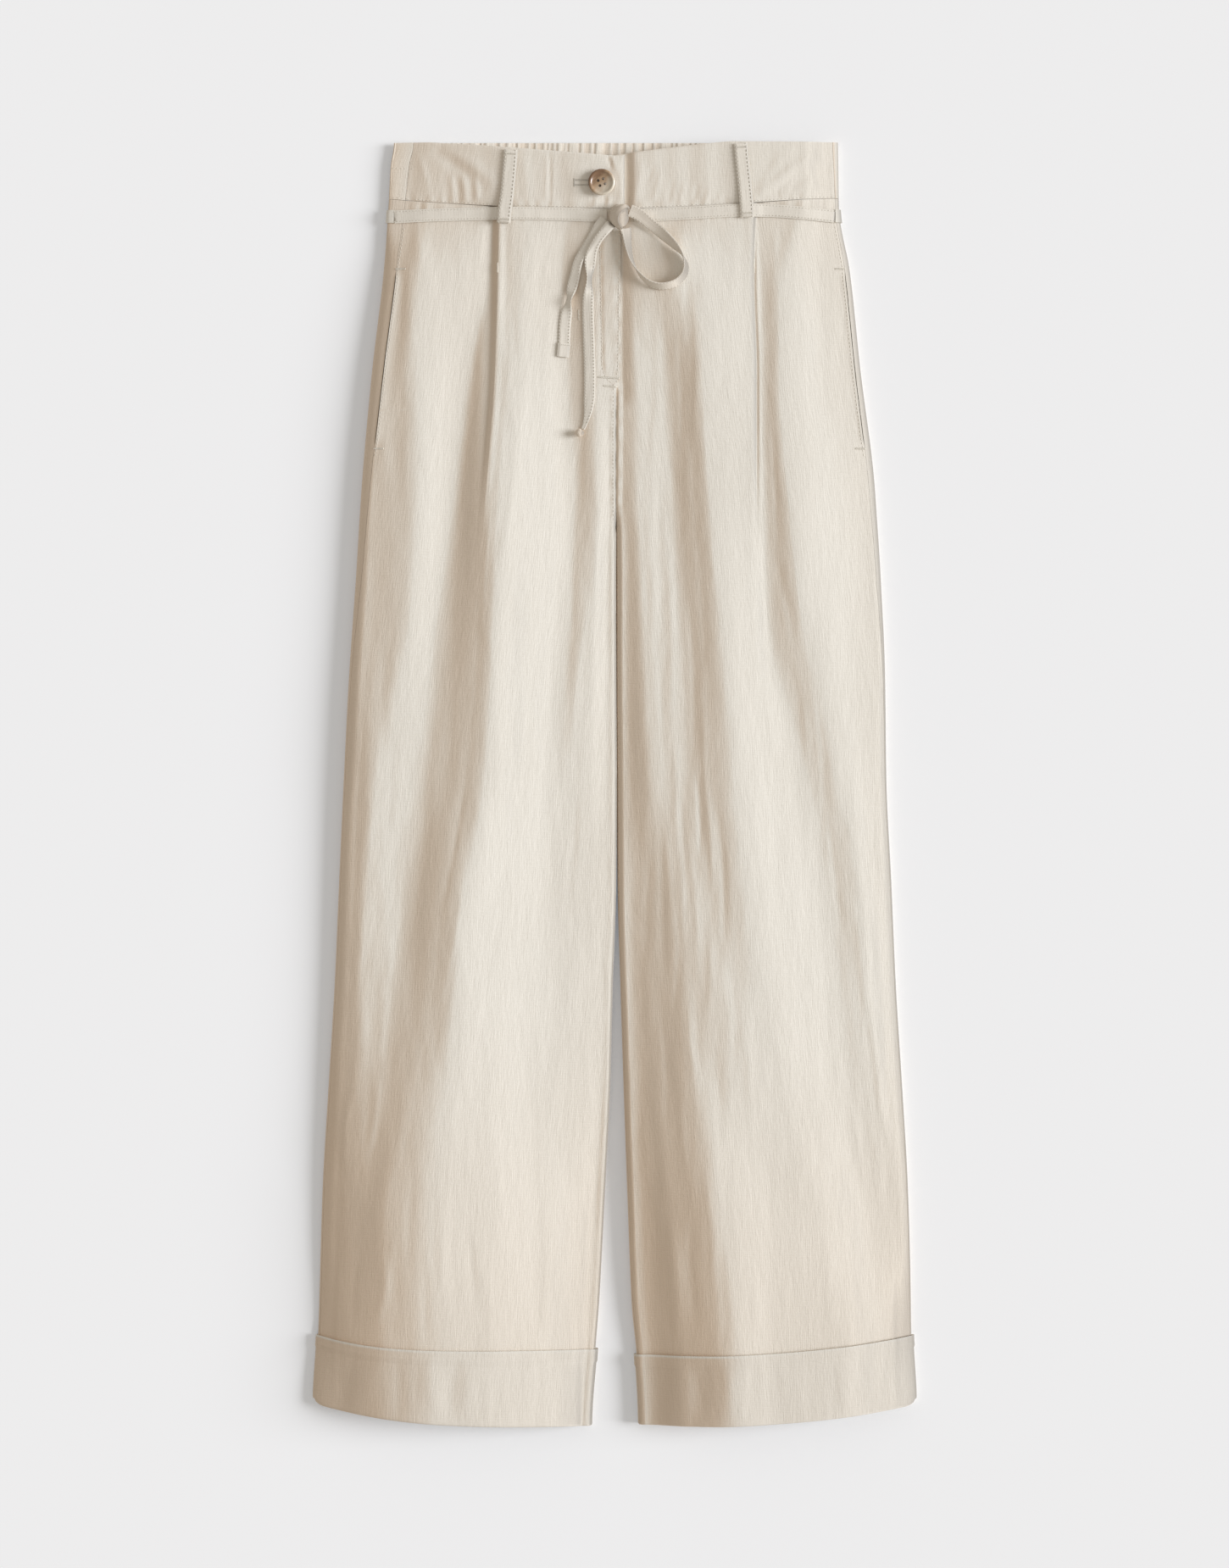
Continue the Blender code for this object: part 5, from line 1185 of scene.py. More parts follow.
# turn-ups: a folded band round each leg
turnUp = {"gap": 0.5 * mm, "layer": 1.25 * mm, "allowance": 0.6 * mm, "allowanceDepth": 9.4 * mm,
          "fold": 0.9 * mm, "corner": 7.5 * mm, "frontSplits": (3, 6, 8, 4, 10, 12, 12, 12, 6, 6),
          "edgeSteps": 10, "flatSteps": 26, "innerSteps": 7}
turnUpFolds = {
    "right": (
        (-448, 209, -500, 217, 5, -0.5, 1), (-448, 190, -500, 196, 5.5, 0.9, 2),
        (-450, 174, -500, 172, 4, -0.5, -1), (-447, 147, -499, 140, 6, 0.6, 2),
        (-450, 128, -500, 131, 4, -0.55, 1), (-447, 112, -500, 116, 5, 0.45, 2),
        (-452, 90, -500, 94, 5, -0.4, 1), (-448, 70, -499, 66, 6, 0.5, 2), (-450, 48, -500, 50, 4, -0.3, 0),
        (-449, 158, -490, 160, 2.4, -0.3, 0), (-460, 104, -500, 101, 2.6, 0.3, 0),
    ),
    "left": (
        (-448, 38, -500, 33, 5, -0.5, 1), (-448, 52, -500, 56, 5, 0.8, 2), (-450, 68, -500, 72, 4.5, -0.8, -1),
        (-447, 88, -499, 92, 6, 0.7, 2), (-450, 112, -500, 108, 5, -0.5, 1), (-447, 132, -500, 137, 5, 0.4, 2),
        (-452, 156, -500, 158, 6, -0.35, 1), (-448, 180, -499, 186, 6, 0.4, 2),
        (-450, 206, -500, 204, 4, -0.3, 0),
        (-449, 79, -490, 82, 2.4, 0.35, 0), (-460, 98, -500, 97, 2.6, -0.35, 0),
    ),
}


def turnUpPiece(side):
    t, u = trousers, turnUp
    top, low = t["cuffTopY"], t["hemY"]
    outside = u["gap"] + u["layer"]
    # the section of the cloth, as (distance out from the leg, y): outside, fold, inside, allowance
    profile = [(outside + u["allowance"], top), (outside + u["allowance"], top - 0.8 * mm)]
    ys = np.linspace(top - 2.4 * mm, low + 1.8 * mm, 27)
    for y in ys:
        step = float(1.0 - ease(top - u["allowanceDepth"] + 0.7 * mm, top - u["allowanceDepth"] - 0.9 * mm, y))
        ridge = 0.18 * mm * float(hump(y, top - u["allowanceDepth"] + 1.6 * mm, 1.2 * mm))
        profile.append((outside + u["allowance"] * step + ridge, float(y)))
    profile += [(outside - 0.25 * u["fold"], low + 0.7 * mm), (outside - u["fold"], low),
                (u["fold"] - t["cloth"], low), (-t["cloth"], low + 1.4 * mm)]
    inner = [float(y) for y in np.linspace(low + 6 * mm, t["panelEndY"] - 1.2 * mm, 7)]
    profile += [(-t["cloth"], y) for y in inner] + [(0.0, y) for y in inner[::-1]]
    profile += [(0.0, low + 2.0 * mm), (u["gap"], low + 2.0 * mm)]
    profile += [(u["gap"], float(y)) for y in np.linspace(low + 6 * mm, top - 1.0 * mm, 12)]
    rings, uvs, paintedShades = [], [], []
    for line, (offset, y) in enumerate(profile):
        cut = legSection(side, y)
        out = frontStations(cut, u["frontSplits"])
        fade = float(ease(-458 * mm, -440 * mm, y))
        relief = (frontRelief(side, out, np.full(out.shape, y)) * fade
                  + (0.5 * creaseHeight(turnUpFolds[side], out, y) + 0.2 * mm * midCrumple(out + 7.0, y)
                     + 0.1 * mm * fineCrumple(out + 7.0, y)) * (1 - fade)) * edgeHold(out)
        if offset <= 0.0:
            relief = np.minimum(relief, 0.6 * mm)
        front = np.stack([out, topHeight(cut, out) + relief], axis=1)
        back = backOutline(cut, u["edgeSteps"], u["flatSteps"], u["innerSteps"])
        ring = np.concatenate([front[::-1], back[1:-1]])
        normal = lineNormals(ring, closed=True)
        moved = ring + normal * offset
        # round outer corner of the fold
        near = np.clip(1.0 - (cut["outer"] - moved[:, 0]) / u["corner"], 0.0, 1.0)
        place = rowY(cut, ring[:, 0]) + 4.2 * mm * (1 - np.sqrt(1 - near ** 2)) * cuffShare(y) ** 3
        rings.append(np.stack([cut["sign"] * moved[:, 0], place, np.maximum(moved[:, 1], 0.0)], axis=1))
        uvs.append(np.stack([runLengths(ring) + (4.0 if side == "left" else 4.7), place - 2 * offset], axis=1))
        # painted warm shade where the turn-up faces away from the light, none on its top two lines so the folded lip
        # is a painted highlight
        away = np.clip(0.1 - cut["sign"] * normal[:, 0] * 4.5, 0, 1) * (normal[:, 1] > 0)
        paintedShades.append(np.zeros(len(away)) if line < 2 else 0.80 * away + 0.16)
    piece = ringSolid("turn_up_" + side, rings, uvs, paintedShades, sharpAngle=70, closed=True)
    piece["midArea"] = gridArea(np.array(rings[:31])) * 2.0
    return piece


turnUps = {side: turnUpPiece(side) for side in sides}
print("turn-ups", [len(p.data.polygons) for p in turnUps.values()], "faces")


# tie belt: a flat sewn band of the same cloth
tieBand = {"width": 10.5 * mm, "cloth": 1.3 * mm, "gap": 0.25 * mm, "step": 1.6 * mm, "across": 9,
           "crown": -0.16 * mm, "sharpAngle": 75}
spots = np.linspace(-1.0, 1.0, tieBand["across"])
dome = np.sqrt(np.maximum(0.0, 1 - np.abs(spots) ** 6))


# a route of (x, y) or (x, y, height) in mm as places in metres
def inMetres(route):
    return [(x * mm, y * mm, (height[0] if height else 0.0) * mm) for x, y, *height in route]


# direction of a line of places at one of them
def aheadOf(line, k):
    return line[min(len(line) - 1, k + 1)] - line[max(0, k - 1)]


def bandUvs(width, along, uvOrigin):
    across = 0.5 * width * np.concatenate([spots, spots[::-1]])
    return np.stack(np.broadcast_arrays(uvOrigin[0] + across, uvOrigin[1] + np.asarray(along)[:, None]), axis=2)


# a ribbon that lies on what is under it; turns is a list of (share of length, spread, degrees)
def drapedRibbon(name, tree, route, width, thickness, gap, uvOrigin, turns=(), narrow=None, stiff=14):
    line = curveThrough(inMetres(route), tieBand["step"])
    count = len(line)
    ground = np.zeros((count, len(spots)))
    flat = np.zeros((count, len(spots), 2))
    angles = np.zeros(count)
    for k, centre in enumerate(line):
        share = k / (count - 1)
        for place, spread, angle in turns:
            angles[k] += math.radians(angle) * math.exp(-((share - place) / spread) ** 2)
        ahead = aheadOf(line, k)
        ahead = Vector((ahead.x, ahead.y, 0)).normalized()
        reach = 0.5 * width * (1.0 if narrow is None else float(narrow(share)))
        for n, s in enumerate(spots):
            p = centre + Vector((-ahead.y, ahead.x, 0.0)) * (s * reach * math.cos(angles[k]))
            flat[k, n] = p.x, p.y
            ground[k, n] = heightOn(tree, p.x, p.y, 0.7 * mm) + gap
    # stiff cloth bridges the dips under it
    rest = ground.copy()
    for _ in range(stiff):
        softer = rest.copy()
        softer[1:-1] = 0.25 * rest[:-2] + 0.5 * rest[1:-1] + 0.25 * rest[2:]
        softer[:, 1:-1] = 0.25 * softer[:, :-2] + 0.5 * softer[:, 1:-1] + 0.25 * softer[:, 2:]
        rest = np.maximum(ground, softer)
    turned = np.abs(np.sin(angles))[:, None]
    stand = rest.max(axis=1, keepdims=True) + 0.225 * width * turned * (
        1.0 + np.sign(np.sin(angles) + 1e-9)[:, None] * spots)
    rest = rest * (1 - turned) + stand * turned + np.array([p.z for p in line])[:, None]
    low = rest + (1 - dome) * 0.35 * thickness
    high = rest + thickness * (0.35 + 0.65 * dome) + tieBand["crown"] * (1 - spots ** 2)
    rings = np.concatenate([np.dstack([flat, low]), np.dstack([flat, high])[:, ::-1]], axis=1)
    for end in (0, -1):      # the two ends are rounded in
        rings[end] = 0.75 * rings[end] + 0.25 * rings[end][::-1]
    # a light, even painted warm shade over the ribbon
    piece = ringSolid(name, rings, bandUvs(width, runLengths(np.array([tuple(p) for p in line])), uvOrigin), 0.15,
                      tieBand["sharpAngle"])

    def station(n, lift):
        return [Vector((*flat[k, n], rest[k, n] + lift)) for k in range(count)]
    return piece, station(len(spots) // 2, 0.5 * thickness), \
        [station(n, thickness + 0.05 * mm) for n in (1, len(spots) - 2)]


def straightUp(count):
    return [Vector((0, 0, 1))] * count


beltRoutes = {
    "right": ((-178.2, 459.0), (-165, 459.5), (-140, 460.3), (-94, 461.2), (-50, 460.6), (-20, 459.6), (-6.2, 459.4)),
    "left": ((178.2, 459.2), (168, 460.0), (150, 461.6), (128, 463.2), (100, 463.4), (60, 461.2), (32, 460.0),
             (15.6, 459.4)),
}
clothParts = [*frontPieces.values(), *backPieces.values(), *bandPieces.values(), backBand]
clothTree = treeOf(clothParts)
beltPieces, beltEdges = {}, {}
for side in sides:
    beltPieces[side], _, beltEdges[side] = drapedRibbon(
        "tie_band_" + side, clothTree, beltRoutes[side], tieBand["width"], tieBand["cloth"], tieBand["gap"],
        (5.2, 0.0 if side == "right" else 0.5), stiff=16)


# the run of the tie round both side edges and under the back, as rings of its near and far faces
def tieBackPiece():
    rows, w = 7, tieBand["width"]
    halves = []
    for side, order in (("left", 1), ("right", -1)):
        lines = []
        for y in 459.5 * mm + w * np.linspace(-0.5, 0.5, rows):
            cut = legSection(side, float(y))
            points = backOutline(cut, 16, 14, 1)[:31]
            start = (178.4 * mm, float(topHeight(cut, 178.4 * mm)))
            keep = (points[:, 0] > start[0] + 0.3 * mm) | (points[:, 1] < 4 * mm)
            lines.append((y, np.concatenate([[start], points[keep]])))
        least = min(len(line) for _, line in lines)
        faces = []
        for reach in (0.3 * mm, 1.5 * mm):
            moved = [(y, line[:least] + lineNormals(line[:least]) * reach) for y, line in lines]
            faces.append(np.array([np.stack([sides[side] * m[:, 0], np.full(least, y),
                                             np.maximum(m[:, 1], 0.02 * mm)], axis=1) for y, m in moved]))
        halves.append(np.concatenate([faces[0], faces[1][::-1]]).swapaxes(0, 1)[::order])
    rings = np.concatenate(halves)
    along = runLengths(rings[:, 3])
    across = np.concatenate([np.linspace(-0.5, 0.5, rows), np.linspace(0.5, -0.5, rows)]) * w
    uvs = np.stack(np.broadcast_arrays(across + 5.6, along[:, None]), axis=2)
    return ringSolid("tie_band_back", rings, uvs, 0.0, 60), along[-1]


beltBack, beltBackLength = tieBackPiece()
print("tie band laid,", round(beltBackLength, 3), "m round the back")


# the two belt loops on the front
beltLoop = {"width": 11.2 * mm, "cloth": 1.5 * mm}
loopRoutes = {"right": ((-83.6, 512.4), (-84.6, 500), (-86.6, 478), (-88.4, 464), (-89.4, 453.2)),
              "left": ((102.0, 517.4), (103.0, 505), (105.4, 482), (106.6, 468), (107.2, 457.6))}
beltParts = clothParts + list(beltPieces.values())
overBelt = treeOf(beltParts)
loopPieces, loopEdges = {}, {}
for side in sides:
    loopPieces[side], _, loopEdges[side] = drapedRibbon(
        "belt_loop_" + side, overBelt, loopRoutes[side], beltLoop["width"], beltLoop["cloth"], 0.3 * mm,
        (6.0, 0.0 if side == "right" else 0.3), stiff=60)


# tails, bow loop and knots of the tie; routes in mm, turns as (share, spread, degrees)
shortTail = {
    "route": ((-7.6, 455.6, 1.0), (-13.0, 449.2, 0.5), (-19.1, 439.0, 0.2), (-24.6, 430.6), (-29.4, 421.9),
              (-32.6, 408.2), (-36.8, 391), (-39.7, 373.9), (-40.6, 356.7), (-41.6, 345.2)),
    "turns": ((0.28, 0.30, 40), (0.615, 0.07, 52)), "width": 9.6 * mm, "cloth": 0.9 * mm,
    "fold": ((-40.6, 356.2), (-41.1, 350.6), (-41.7, 344.9)),
}
longTail = {
    "route": ((-2.2, 452.4, 1.4), (-6.6, 447.6, 0.8), (-12.2, 441.0, 0.4), (-16.6, 433.4), (-19.1, 425.3),
              (-20.2, 408.2), (-21.3, 385.5), (-20.8, 362), (-20.1, 339.6), (-20, 316.9),
              (-21.2, 301.8), (-23.6, 291.5), (-25.6, 286.6)),
    "turns": ((0.10, 0.16, 40), (0.287, 0.085, -72)), "width": 9.4 * mm, "cloth": 0.9 * mm,
}
bowLoop = {   # x, y, height of the middle above the cloth, lean in degrees
    "route": ((12.6, 462.6, 6.2, 8), (19.0, 459.8, 5.9, 15), (26.6, 453.9, 5.4, 22), (34.0, 448.0, 5.2, 28),
              (40.3, 442.5, 5.2, 34), (46, 437, 5.4, 46), (51, 431.5, 5.6, 66), (55.4, 425.5, 6, 92),
              (57.8, 418, 6, 112), (56.6, 411, 6, 120), (51.5, 405.2, 6, 122), (45, 402.2, 6, 122),
              (37.5, 401.2, 6, 119), (29.5, 403.2, 6, 112), (22.5, 408.5, 6, 100), (17, 416, 5.8, 84),
              (13.2, 425, 5.6, 70), (11.2, 434, 5.2, 58), (10.2, 441, 5, 46), (9.2, 448.4, 5, 30)),
    "width": 10.0 * mm, "cloth": 1.0 * mm, "press": 0.58,
}
shortPiece, shortLine, shortEdges = drapedRibbon(
    "tie_tail_folded", overBelt, shortTail["route"], shortTail["width"], shortTail["cloth"], 0.2 * mm, (6.6, 0.0),
    shortTail["turns"])
foldPiece, _, foldEdges = drapedRibbon(
    "tie_tail_fold", treeOf(clothParts + [shortPiece]), shortTail["fold"], shortTail["width"] + 0.5 * mm,
    shortTail["cloth"], 0.05 * mm, (6.7, 0.2), stiff=6)
overLong = treeOf(beltParts + [shortPiece])
longPiece, longLine, longEdges = drapedRibbon(
    "tie_tail_knotted", overLong, longTail["route"], longTail["width"], longTail["cloth"], 0.2 * mm, (6.9, 0.0),
    longTail["turns"], narrow=lambda share: 1.0 - 0.62 * float(ease(0.84, 1.0, share)))


# a ribbon through the air along (centre, lean) stations, and its four edges
def leaningRibbon(name, path, width, thickness, uvOrigin):
    centres = [centre for centre, _ in path]
    rings = []
    edges = {(side, face): [] for side in (-1, 1) for face in (-1, 1)}
    # thinner between its two turned and stitched edges
    halves = 0.5 * thickness * (0.3 + 0.7 * dome) - 0.12 * mm * (1 - spots * spots) ** 2
    for k, (centre, tilt) in enumerate(path):
        ahead = aheadOf(centres, k).normalized()
        flat = Vector((-ahead.y, ahead.x, 0.0)).normalized()
        lean = flat * math.cos(tilt) + Vector((0, 0, 1)) * (bowLoop["press"] * math.sin(tilt))
        up = ahead.cross(lean).normalized()
        low, high = ([tuple(centre + lean * (0.5 * width * s) + up * (face * h)) for s, h in zip(spots, halves)]
                     for face in (-1, 1))
        rings.append(low + high[::-1])
        for side, face in edges:
            edge = centre + lean * (0.40 * width * side) + up * face * (0.5 * thickness)
            edges[side, face].append((edge, up * face))
    along = runLengths(np.array([tuple(p) for p in centres]))
    # painted warm shade over the bow's ribbon
    return ringSolid(name, rings, bandUvs(width, along, uvOrigin), 0.45, tieBand["sharpAngle"]), edges


def bowPath():
    b = bowLoop
    line = curveThrough(inMetres(b["route"]), tieBand["step"])
    leans = softCurve([(k, math.radians(row[3])) for k, row in enumerate(b["route"])])
    heights, tilts = [], []
    for k, p in enumerate(line):
        tilt = float(leans(k * (len(b["route"]) - 1) / (len(line) - 1)))
        half = 0.5 * b["width"] * b["press"] * abs(math.sin(tilt))
        heights.append(heightOn(overLong, p.x, p.y, 3.0 * mm) + max(half + 0.8 * mm, b["press"] * p.z))
        tilts.append(tilt)
    heights = np.array(heights)
    for _ in range(12):
        heights[1:-1] = np.maximum(heights[1:-1], 0.25 * heights[:-2] + 0.5 * heights[1:-1] + 0.25 * heights[2:])
    smoothHeights = np.convolve(np.pad(heights, 4, mode="edge"), np.ones(9) / 9, mode="valid")
    return [(Vector((p.x, p.y, z)), t) for p, z, t in zip(line, smoothHeights, tilts)]


bowCentres = bowPath()
bowPiece, bowEdges = leaningRibbon("tie_bow_ribbon", bowCentres, bowLoop["width"], bowLoop["cloth"], (7.2, 0.0))

# the knot: a soft round lump and the turn of the band drawn over it
tieKnot = {"centre": (4.0 * mm, 458.6 * mm), "size": (8.3 * mm, 9.6 * mm, 4.2 * mm), "wrapWidth": 6.4 * mm,
           "wrap": ((11.2, 466.2, 3.6), (8.6, 466.6, 7.2), (4.6, 464.2, 9.6), (0.9, 459.6, 10.3),
                    (0.0, 454.6, 9.4), (1.9, 450.2, 7.2), (4.6, 447.8, 3.8))}


def knotLump(name, centre, size, base, creases, steps=26, turns=48):
    rings, uvs = [], []
    for k in range(1, steps):
        up = -0.5 * math.pi + math.pi * k / steps
        ring, uv = [], []
        for n in range(turns):
            around = 2 * math.pi * n / turns
            dent = sum(depth * math.exp(-(math.sin(0.5 * (around - angle + twist * up)) / spread) ** 2)
                       for angle, depth, spread, twist in creases)
            r = 1.0 - dent * math.cos(up) ** 0.5
            ring.append((centre[0] + size[0] * r * math.cos(up) * math.cos(around),
                         centre[1] + size[1] * r * math.cos(up) * math.sin(around),
                         base + size[2] * (1 + r * math.sin(up))))
            uv.append((7.6 + around * size[0], 0.1 + up * size[1]))
        rings.append(ring)
        uvs.append(uv)
    # full painted warm shade over the knot
    return ringSolid(name, rings, uvs, 1.0)


knotBase = heightOn(clothTree, *tieKnot["centre"], 7 * mm) + 0.3 * mm
knotPiece = knotLump("tie_knot_lump", tieKnot["centre"], tieKnot["size"], knotBase,
                     ((2.9, 0.10, 0.16, 0.8), (0.1, 0.16, 0.20, -0.6), (4.6, 0.10, 0.14, 0.5), (1.5, 0.08, 0.15, 1)))


def wrapRings():
    centre = Vector((*tieKnot["centre"], knotBase + tieKnot["size"][2]))
    route = curveThrough([(x, y, z + knotBase - 0.9 * mm) for x, y, z in inMetres(tieKnot["wrap"])], 1.0 * mm)
    rings, uvs = [], []
    for k, p in enumerate(route):
        ahead = aheadOf(route, k).normalized()
        outward = (p - centre).normalized()
        across = ahead.cross(outward).normalized()
        up = across.cross(ahead).normalized()
        up = up if up.dot(outward) > 0 else -up
        half = 0.5 * tieKnot["wrapWidth"] * (0.72 + 0.35 * math.sin(math.pi * k / (len(route) - 1)))
        low, high = [], []
        for s in spots:
            curl = -0.9 * mm * s * s
            low.append(tuple(p + across * (half * s) + up * (curl - 0.5 * mm)))
            high.append(tuple(p + across * (half * s) + up * (curl + 0.5 * mm + 0.35 * mm * abs(s) ** 5)))
        rings.append(low + high[::-1])
        uvs.append([(7.9 + half * s, k * mm) for s in (*spots, *spots[::-1])])
    return rings, uvs


rings, uvs = wrapRings()
# full painted warm shade over the knot's wrap
wrapPiece = ringSolid("tie_knot_wrap", rings, uvs, 1.0, tieBand["sharpAngle"])
endKnot = {"centre": (-28.2 * mm, 283.4 * mm), "size": (3.7 * mm, 3.3 * mm, 2.4 * mm)}
endBase = heightOn(clothTree, *endKnot["centre"], 3.4 * mm) + 0.25 * mm
endPiece = knotLump("tie_end_lump", endKnot["centre"], endKnot["size"], endBase,
                    ((0.9, 0.20, 0.2, 1.4), (3.6, 0.16, 0.2, 1.4), (5.2, 0.10, 0.15, -1)), 16, 30)


# waist button with a raised rim, four holes and its thread; its section as (radius, height) in mm
waistButton = {
    "centre": (-10.4 * mm, 485.7 * mm), "shank": 1.2 * mm, "turn": 20.0, "holeRadius": 1.15 * mm,
    "holeReach": 3.1 * mm, "threadRadius": 0.42 * mm,
    "profile": ((0.0, 0.0), (5.8, 0.0), (7.6, 0.2), (9.3, 0.8), (10.3, 1.45), (10.7, 2.05), (10.65, 2.45),
                (10.3, 2.85), (9.8, 3.05), (9.25, 3.1), (8.75, 2.95), (8.3, 2.6), (7.8, 2.25), (7.1, 2),
                (6.2, 1.86), (4.5, 1.78), (2.5, 1.76), (0, 1.76)),
}


def meshFrom(bm, name):
    mesh = bpy.data.meshes.new(name)
    bm.to_mesh(mesh)
    bm.free()
    return mesh


def addCone(bm, place, low, high, depth, segments):
    bmesh.ops.create_cone(bm, cap_ends=True, segments=segments, radius1=low, radius2=high, depth=depth,
                          matrix=Matrix.Translation(place))


def buttonPieces():
    b = waistButton
    x, y = b["centre"]
    base = heightOn(treeOf([bandPieces["right"]]), x, y, 7 * mm) + b["shank"]
    bm = bmesh.new()
    points = [bm.verts.new((x + r * mm, y, base + z * mm)) for r, z in b["profile"]]
    for one, two in zip(points, points[1:]):
        bm.edges.new((one, two))
    bmesh.ops.spin(bm, geom=bm.verts[:] + bm.edges[:], cent=(x, y, base), axis=(0, 0, 1),
                   angle=2 * math.pi, steps=72)
    bmesh.ops.remove_doubles(bm, verts=bm.verts[:], dist=0.005 * mm)
    bmesh.ops.recalc_face_normals(bm, faces=bm.faces[:])
    body = addObject("button_body", meshFrom(bm, "button_body"))
    angles = [math.radians(b["turn"] + 45 + 90 * k) for k in range(4)]
    holes = [Vector((x + b["holeReach"] * math.cos(a), y + b["holeReach"] * math.sin(a), base)) for a in angles]
    cutters = []
    for place in holes:
        bm = bmesh.new()
        addCone(bm, place + Vector((0, 0, 1 * mm)), b["holeRadius"], b["holeRadius"], 8 * mm, 20)
        cutters.append(addObject("hole", meshFrom(bm, "hole")))
        hole = body.modifiers.new("hole", "BOOLEAN")
        hole.object = cutters[-1]
        hole.solver = "EXACT"
    finished = evaluatedMesh(body)
    for thing in cutters + [body]:
        bpy.data.objects.remove(thing, do_unlink=True)
    finished.shade_smooth()
    finished.set_sharp_from_angle(angle=math.radians(40))
    # thread in the holes and a shank below
    bm = bmesh.new()
    for place in holes:
        addCone(bm, place + Vector((0, 0, -0.75 * mm)), b["threadRadius"], b["threadRadius"], 1.2 * mm, 10)
    addCone(bm, (x, y, base - 0.5 * b["shank"]), 2.2 * mm, 1.7 * mm, b["shank"] * 0.96, 20)
    thread = meshFrom(bm, "button_thread")
    thread.shade_smooth()
    return addObject("waist_button_horn", finished), addObject("button_thread", thread)


buttonHorn, buttonThread = buttonPieces()
print("button made")


# stitching; tacks and the buttonhole have close threads that lie across their row
edgeStitch = {"Pitch": 3.1 * mm, "Length": 2.2 * mm, "Thickness": 0.42 * mm}
fineStitch = {"Pitch": 2.6 * mm, "Length": 1.7 * mm, "Thickness": 0.34 * mm}
tackStitch = {"Pitch": 0.55 * mm, "Length": 1.5 * mm, "Thickness": 0.5 * mm, "Turn": math.pi / 2}
longTack = dict(tackStitch, Length=1.7 * mm, step=0.5 * mm)
holeStitch = dict(tackStitch, Pitch=0.6 * mm, step=0.4 * mm)
closeEdge = dict(edgeStitch, lift=0.03 * mm)
topTree = treeOf(clothParts)


def stitchTable(rows):
    for name, places, style in rows:
        stitchRow([(x * mm, y * mm) for x, y in places], name, **style)


# waist seam: edge stitching just above the seam, on the band
for side, start, end in (("right", 161 * mm, -7.0 * mm), ("left", 176 * mm, 10.5 * mm)):
    outs = [start + (end - start) * k / 80 for k in range(81)]
    stitchRow([(sides[side] * out, trousers["waistSeamY"] - float(waistSag(side, out)) + 1.2 * mm) for out in outs],
              "stitch_waist_" + side, lift=0.05 * mm, **edgeStitch)
stitchTable((
    ("stitch_elastic_right", ((-179.2, 498.6), (-164.0, 498.0)), edgeStitch),
    ("stitch_waist_back_right", ((-178.6, 474.8), (-168.0, 473.9)), edgeStitch)))
flyYs = [(455 - (455 - 324.5) * k / 59) * mm for k in range(60)]
stitchRow([(-float(flyLineOut(y)), y) for y in flyYs], "stitch_fly_curve", lift=0.05 * mm, **edgeStitch)
stitchTable((
    ("stitch_fly_edge", ((3.6, 452), (3.4, 400), (3.0, 345), (1.8, 325)), closeEdge),
    ("stitch_front_seam", ((-0.6, 322), (-0.9, 290), (-0.9, 250), (-0.8, 214)), closeEdge)))
# pocket mouths
mouthLow, mouthHigh = trousers["pocketMouth"]
for side in sides:
    places = []
    for k in range(50):
        y = mouthHigh + 34 * mm + (mouthLow - 6 * mm - mouthHigh - 34 * mm) * k / 49
        cut = legSection(side, y)
        out = cut["seam"] - 1.7 * mm - trousers["mouthGape"] * cut["mouth"]
        places.append((sides[side] * out, float(rowY(cut, out))))
    stitchRow(places, "stitch_pocket_" + side, **closeEdge)
    for name, y in (("upper", mouthHigh + 0.5 * mm), ("lower", mouthLow - 1 * mm)):
        seam = legSection(side, y)["seam"]
        stitchRow([(sides[side] * (seam + 0.4 * mm), y), (sides[side] * (seam - 7.5 * mm), y)],
                  "tack_pocket_%s_%s" % (name, side), **longTack)
# pleats, fly and buttonhole
shortTack = dict(longTack, Length=1.5 * mm)
stitchTable((
    ("tack_pleat_right", ((-94.6, 421), (-94.6, 413.5)), shortTack),
    ("tack_pleat_left", ((112.6, 424), (112.6, 413)), shortTack),
    ("tack_fly_upper", ((-13.0, 328.6), (3.6, 327.6)), longTack),
    ("tack_fly_lower", ((-8.5, 321.6), (2.0, 320.6)), dict(longTack, Length=1.6 * mm)),
    ("tack_fly_side", ((-29.2, 383), (-29.0, 375)), shortTack),
    ("buttonhole_row_0", ((-31.6, 487.9), (-20.0, 487.9)), holeStitch),
    ("buttonhole_row_1", ((-31.6, 483.9), (-20.0, 483.9)), holeStitch),
    ("buttonhole_bar", ((-32.4, 489.0), (-32.4, 482.8)), dict(holeStitch, Length=1.8 * mm, Thickness=0.55 * mm))))
# both edges of the flat bands, the loops and the tails, and all four edges of the bow's loop
edgeRows = []
for side in sides:
    edgeRows += [("tie_" + side, k, edge, fineStitch) for k, edge in enumerate(beltEdges[side])]
    edgeRows += [("loop_" + side, k, edge, edgeStitch) for k, edge in enumerate(loopEdges[side])]
for name, edges in (("short", shortEdges), ("long", longEdges)):
    edgeRows += [("tail_" + name, k, edge[6:-4], fineStitch) for k, edge in enumerate(edges)]
for name, k, edge, style in edgeRows:
    stitchPath(edge, straightUp(len(edge)), "stitch_%s_%d" % (name, k), **style)
for (side, face), edge in bowEdges.items():
    stitchPath([p for p, _ in edge], [n for _, n in edge], "stitch_bow_%d_%d" % (side > 0, face > 0), **fineStitch)


# stitches across a band, between the same station of its two edges
def stitchAcross(edges, station, name, lift, steps, **style):
    a, b = edges[0][station], edges[1][station]
    stitchPath([a.lerp(b, s / 20) + Vector((0, 0, lift)) for s in steps], straightUp(len(steps)), name, **style)


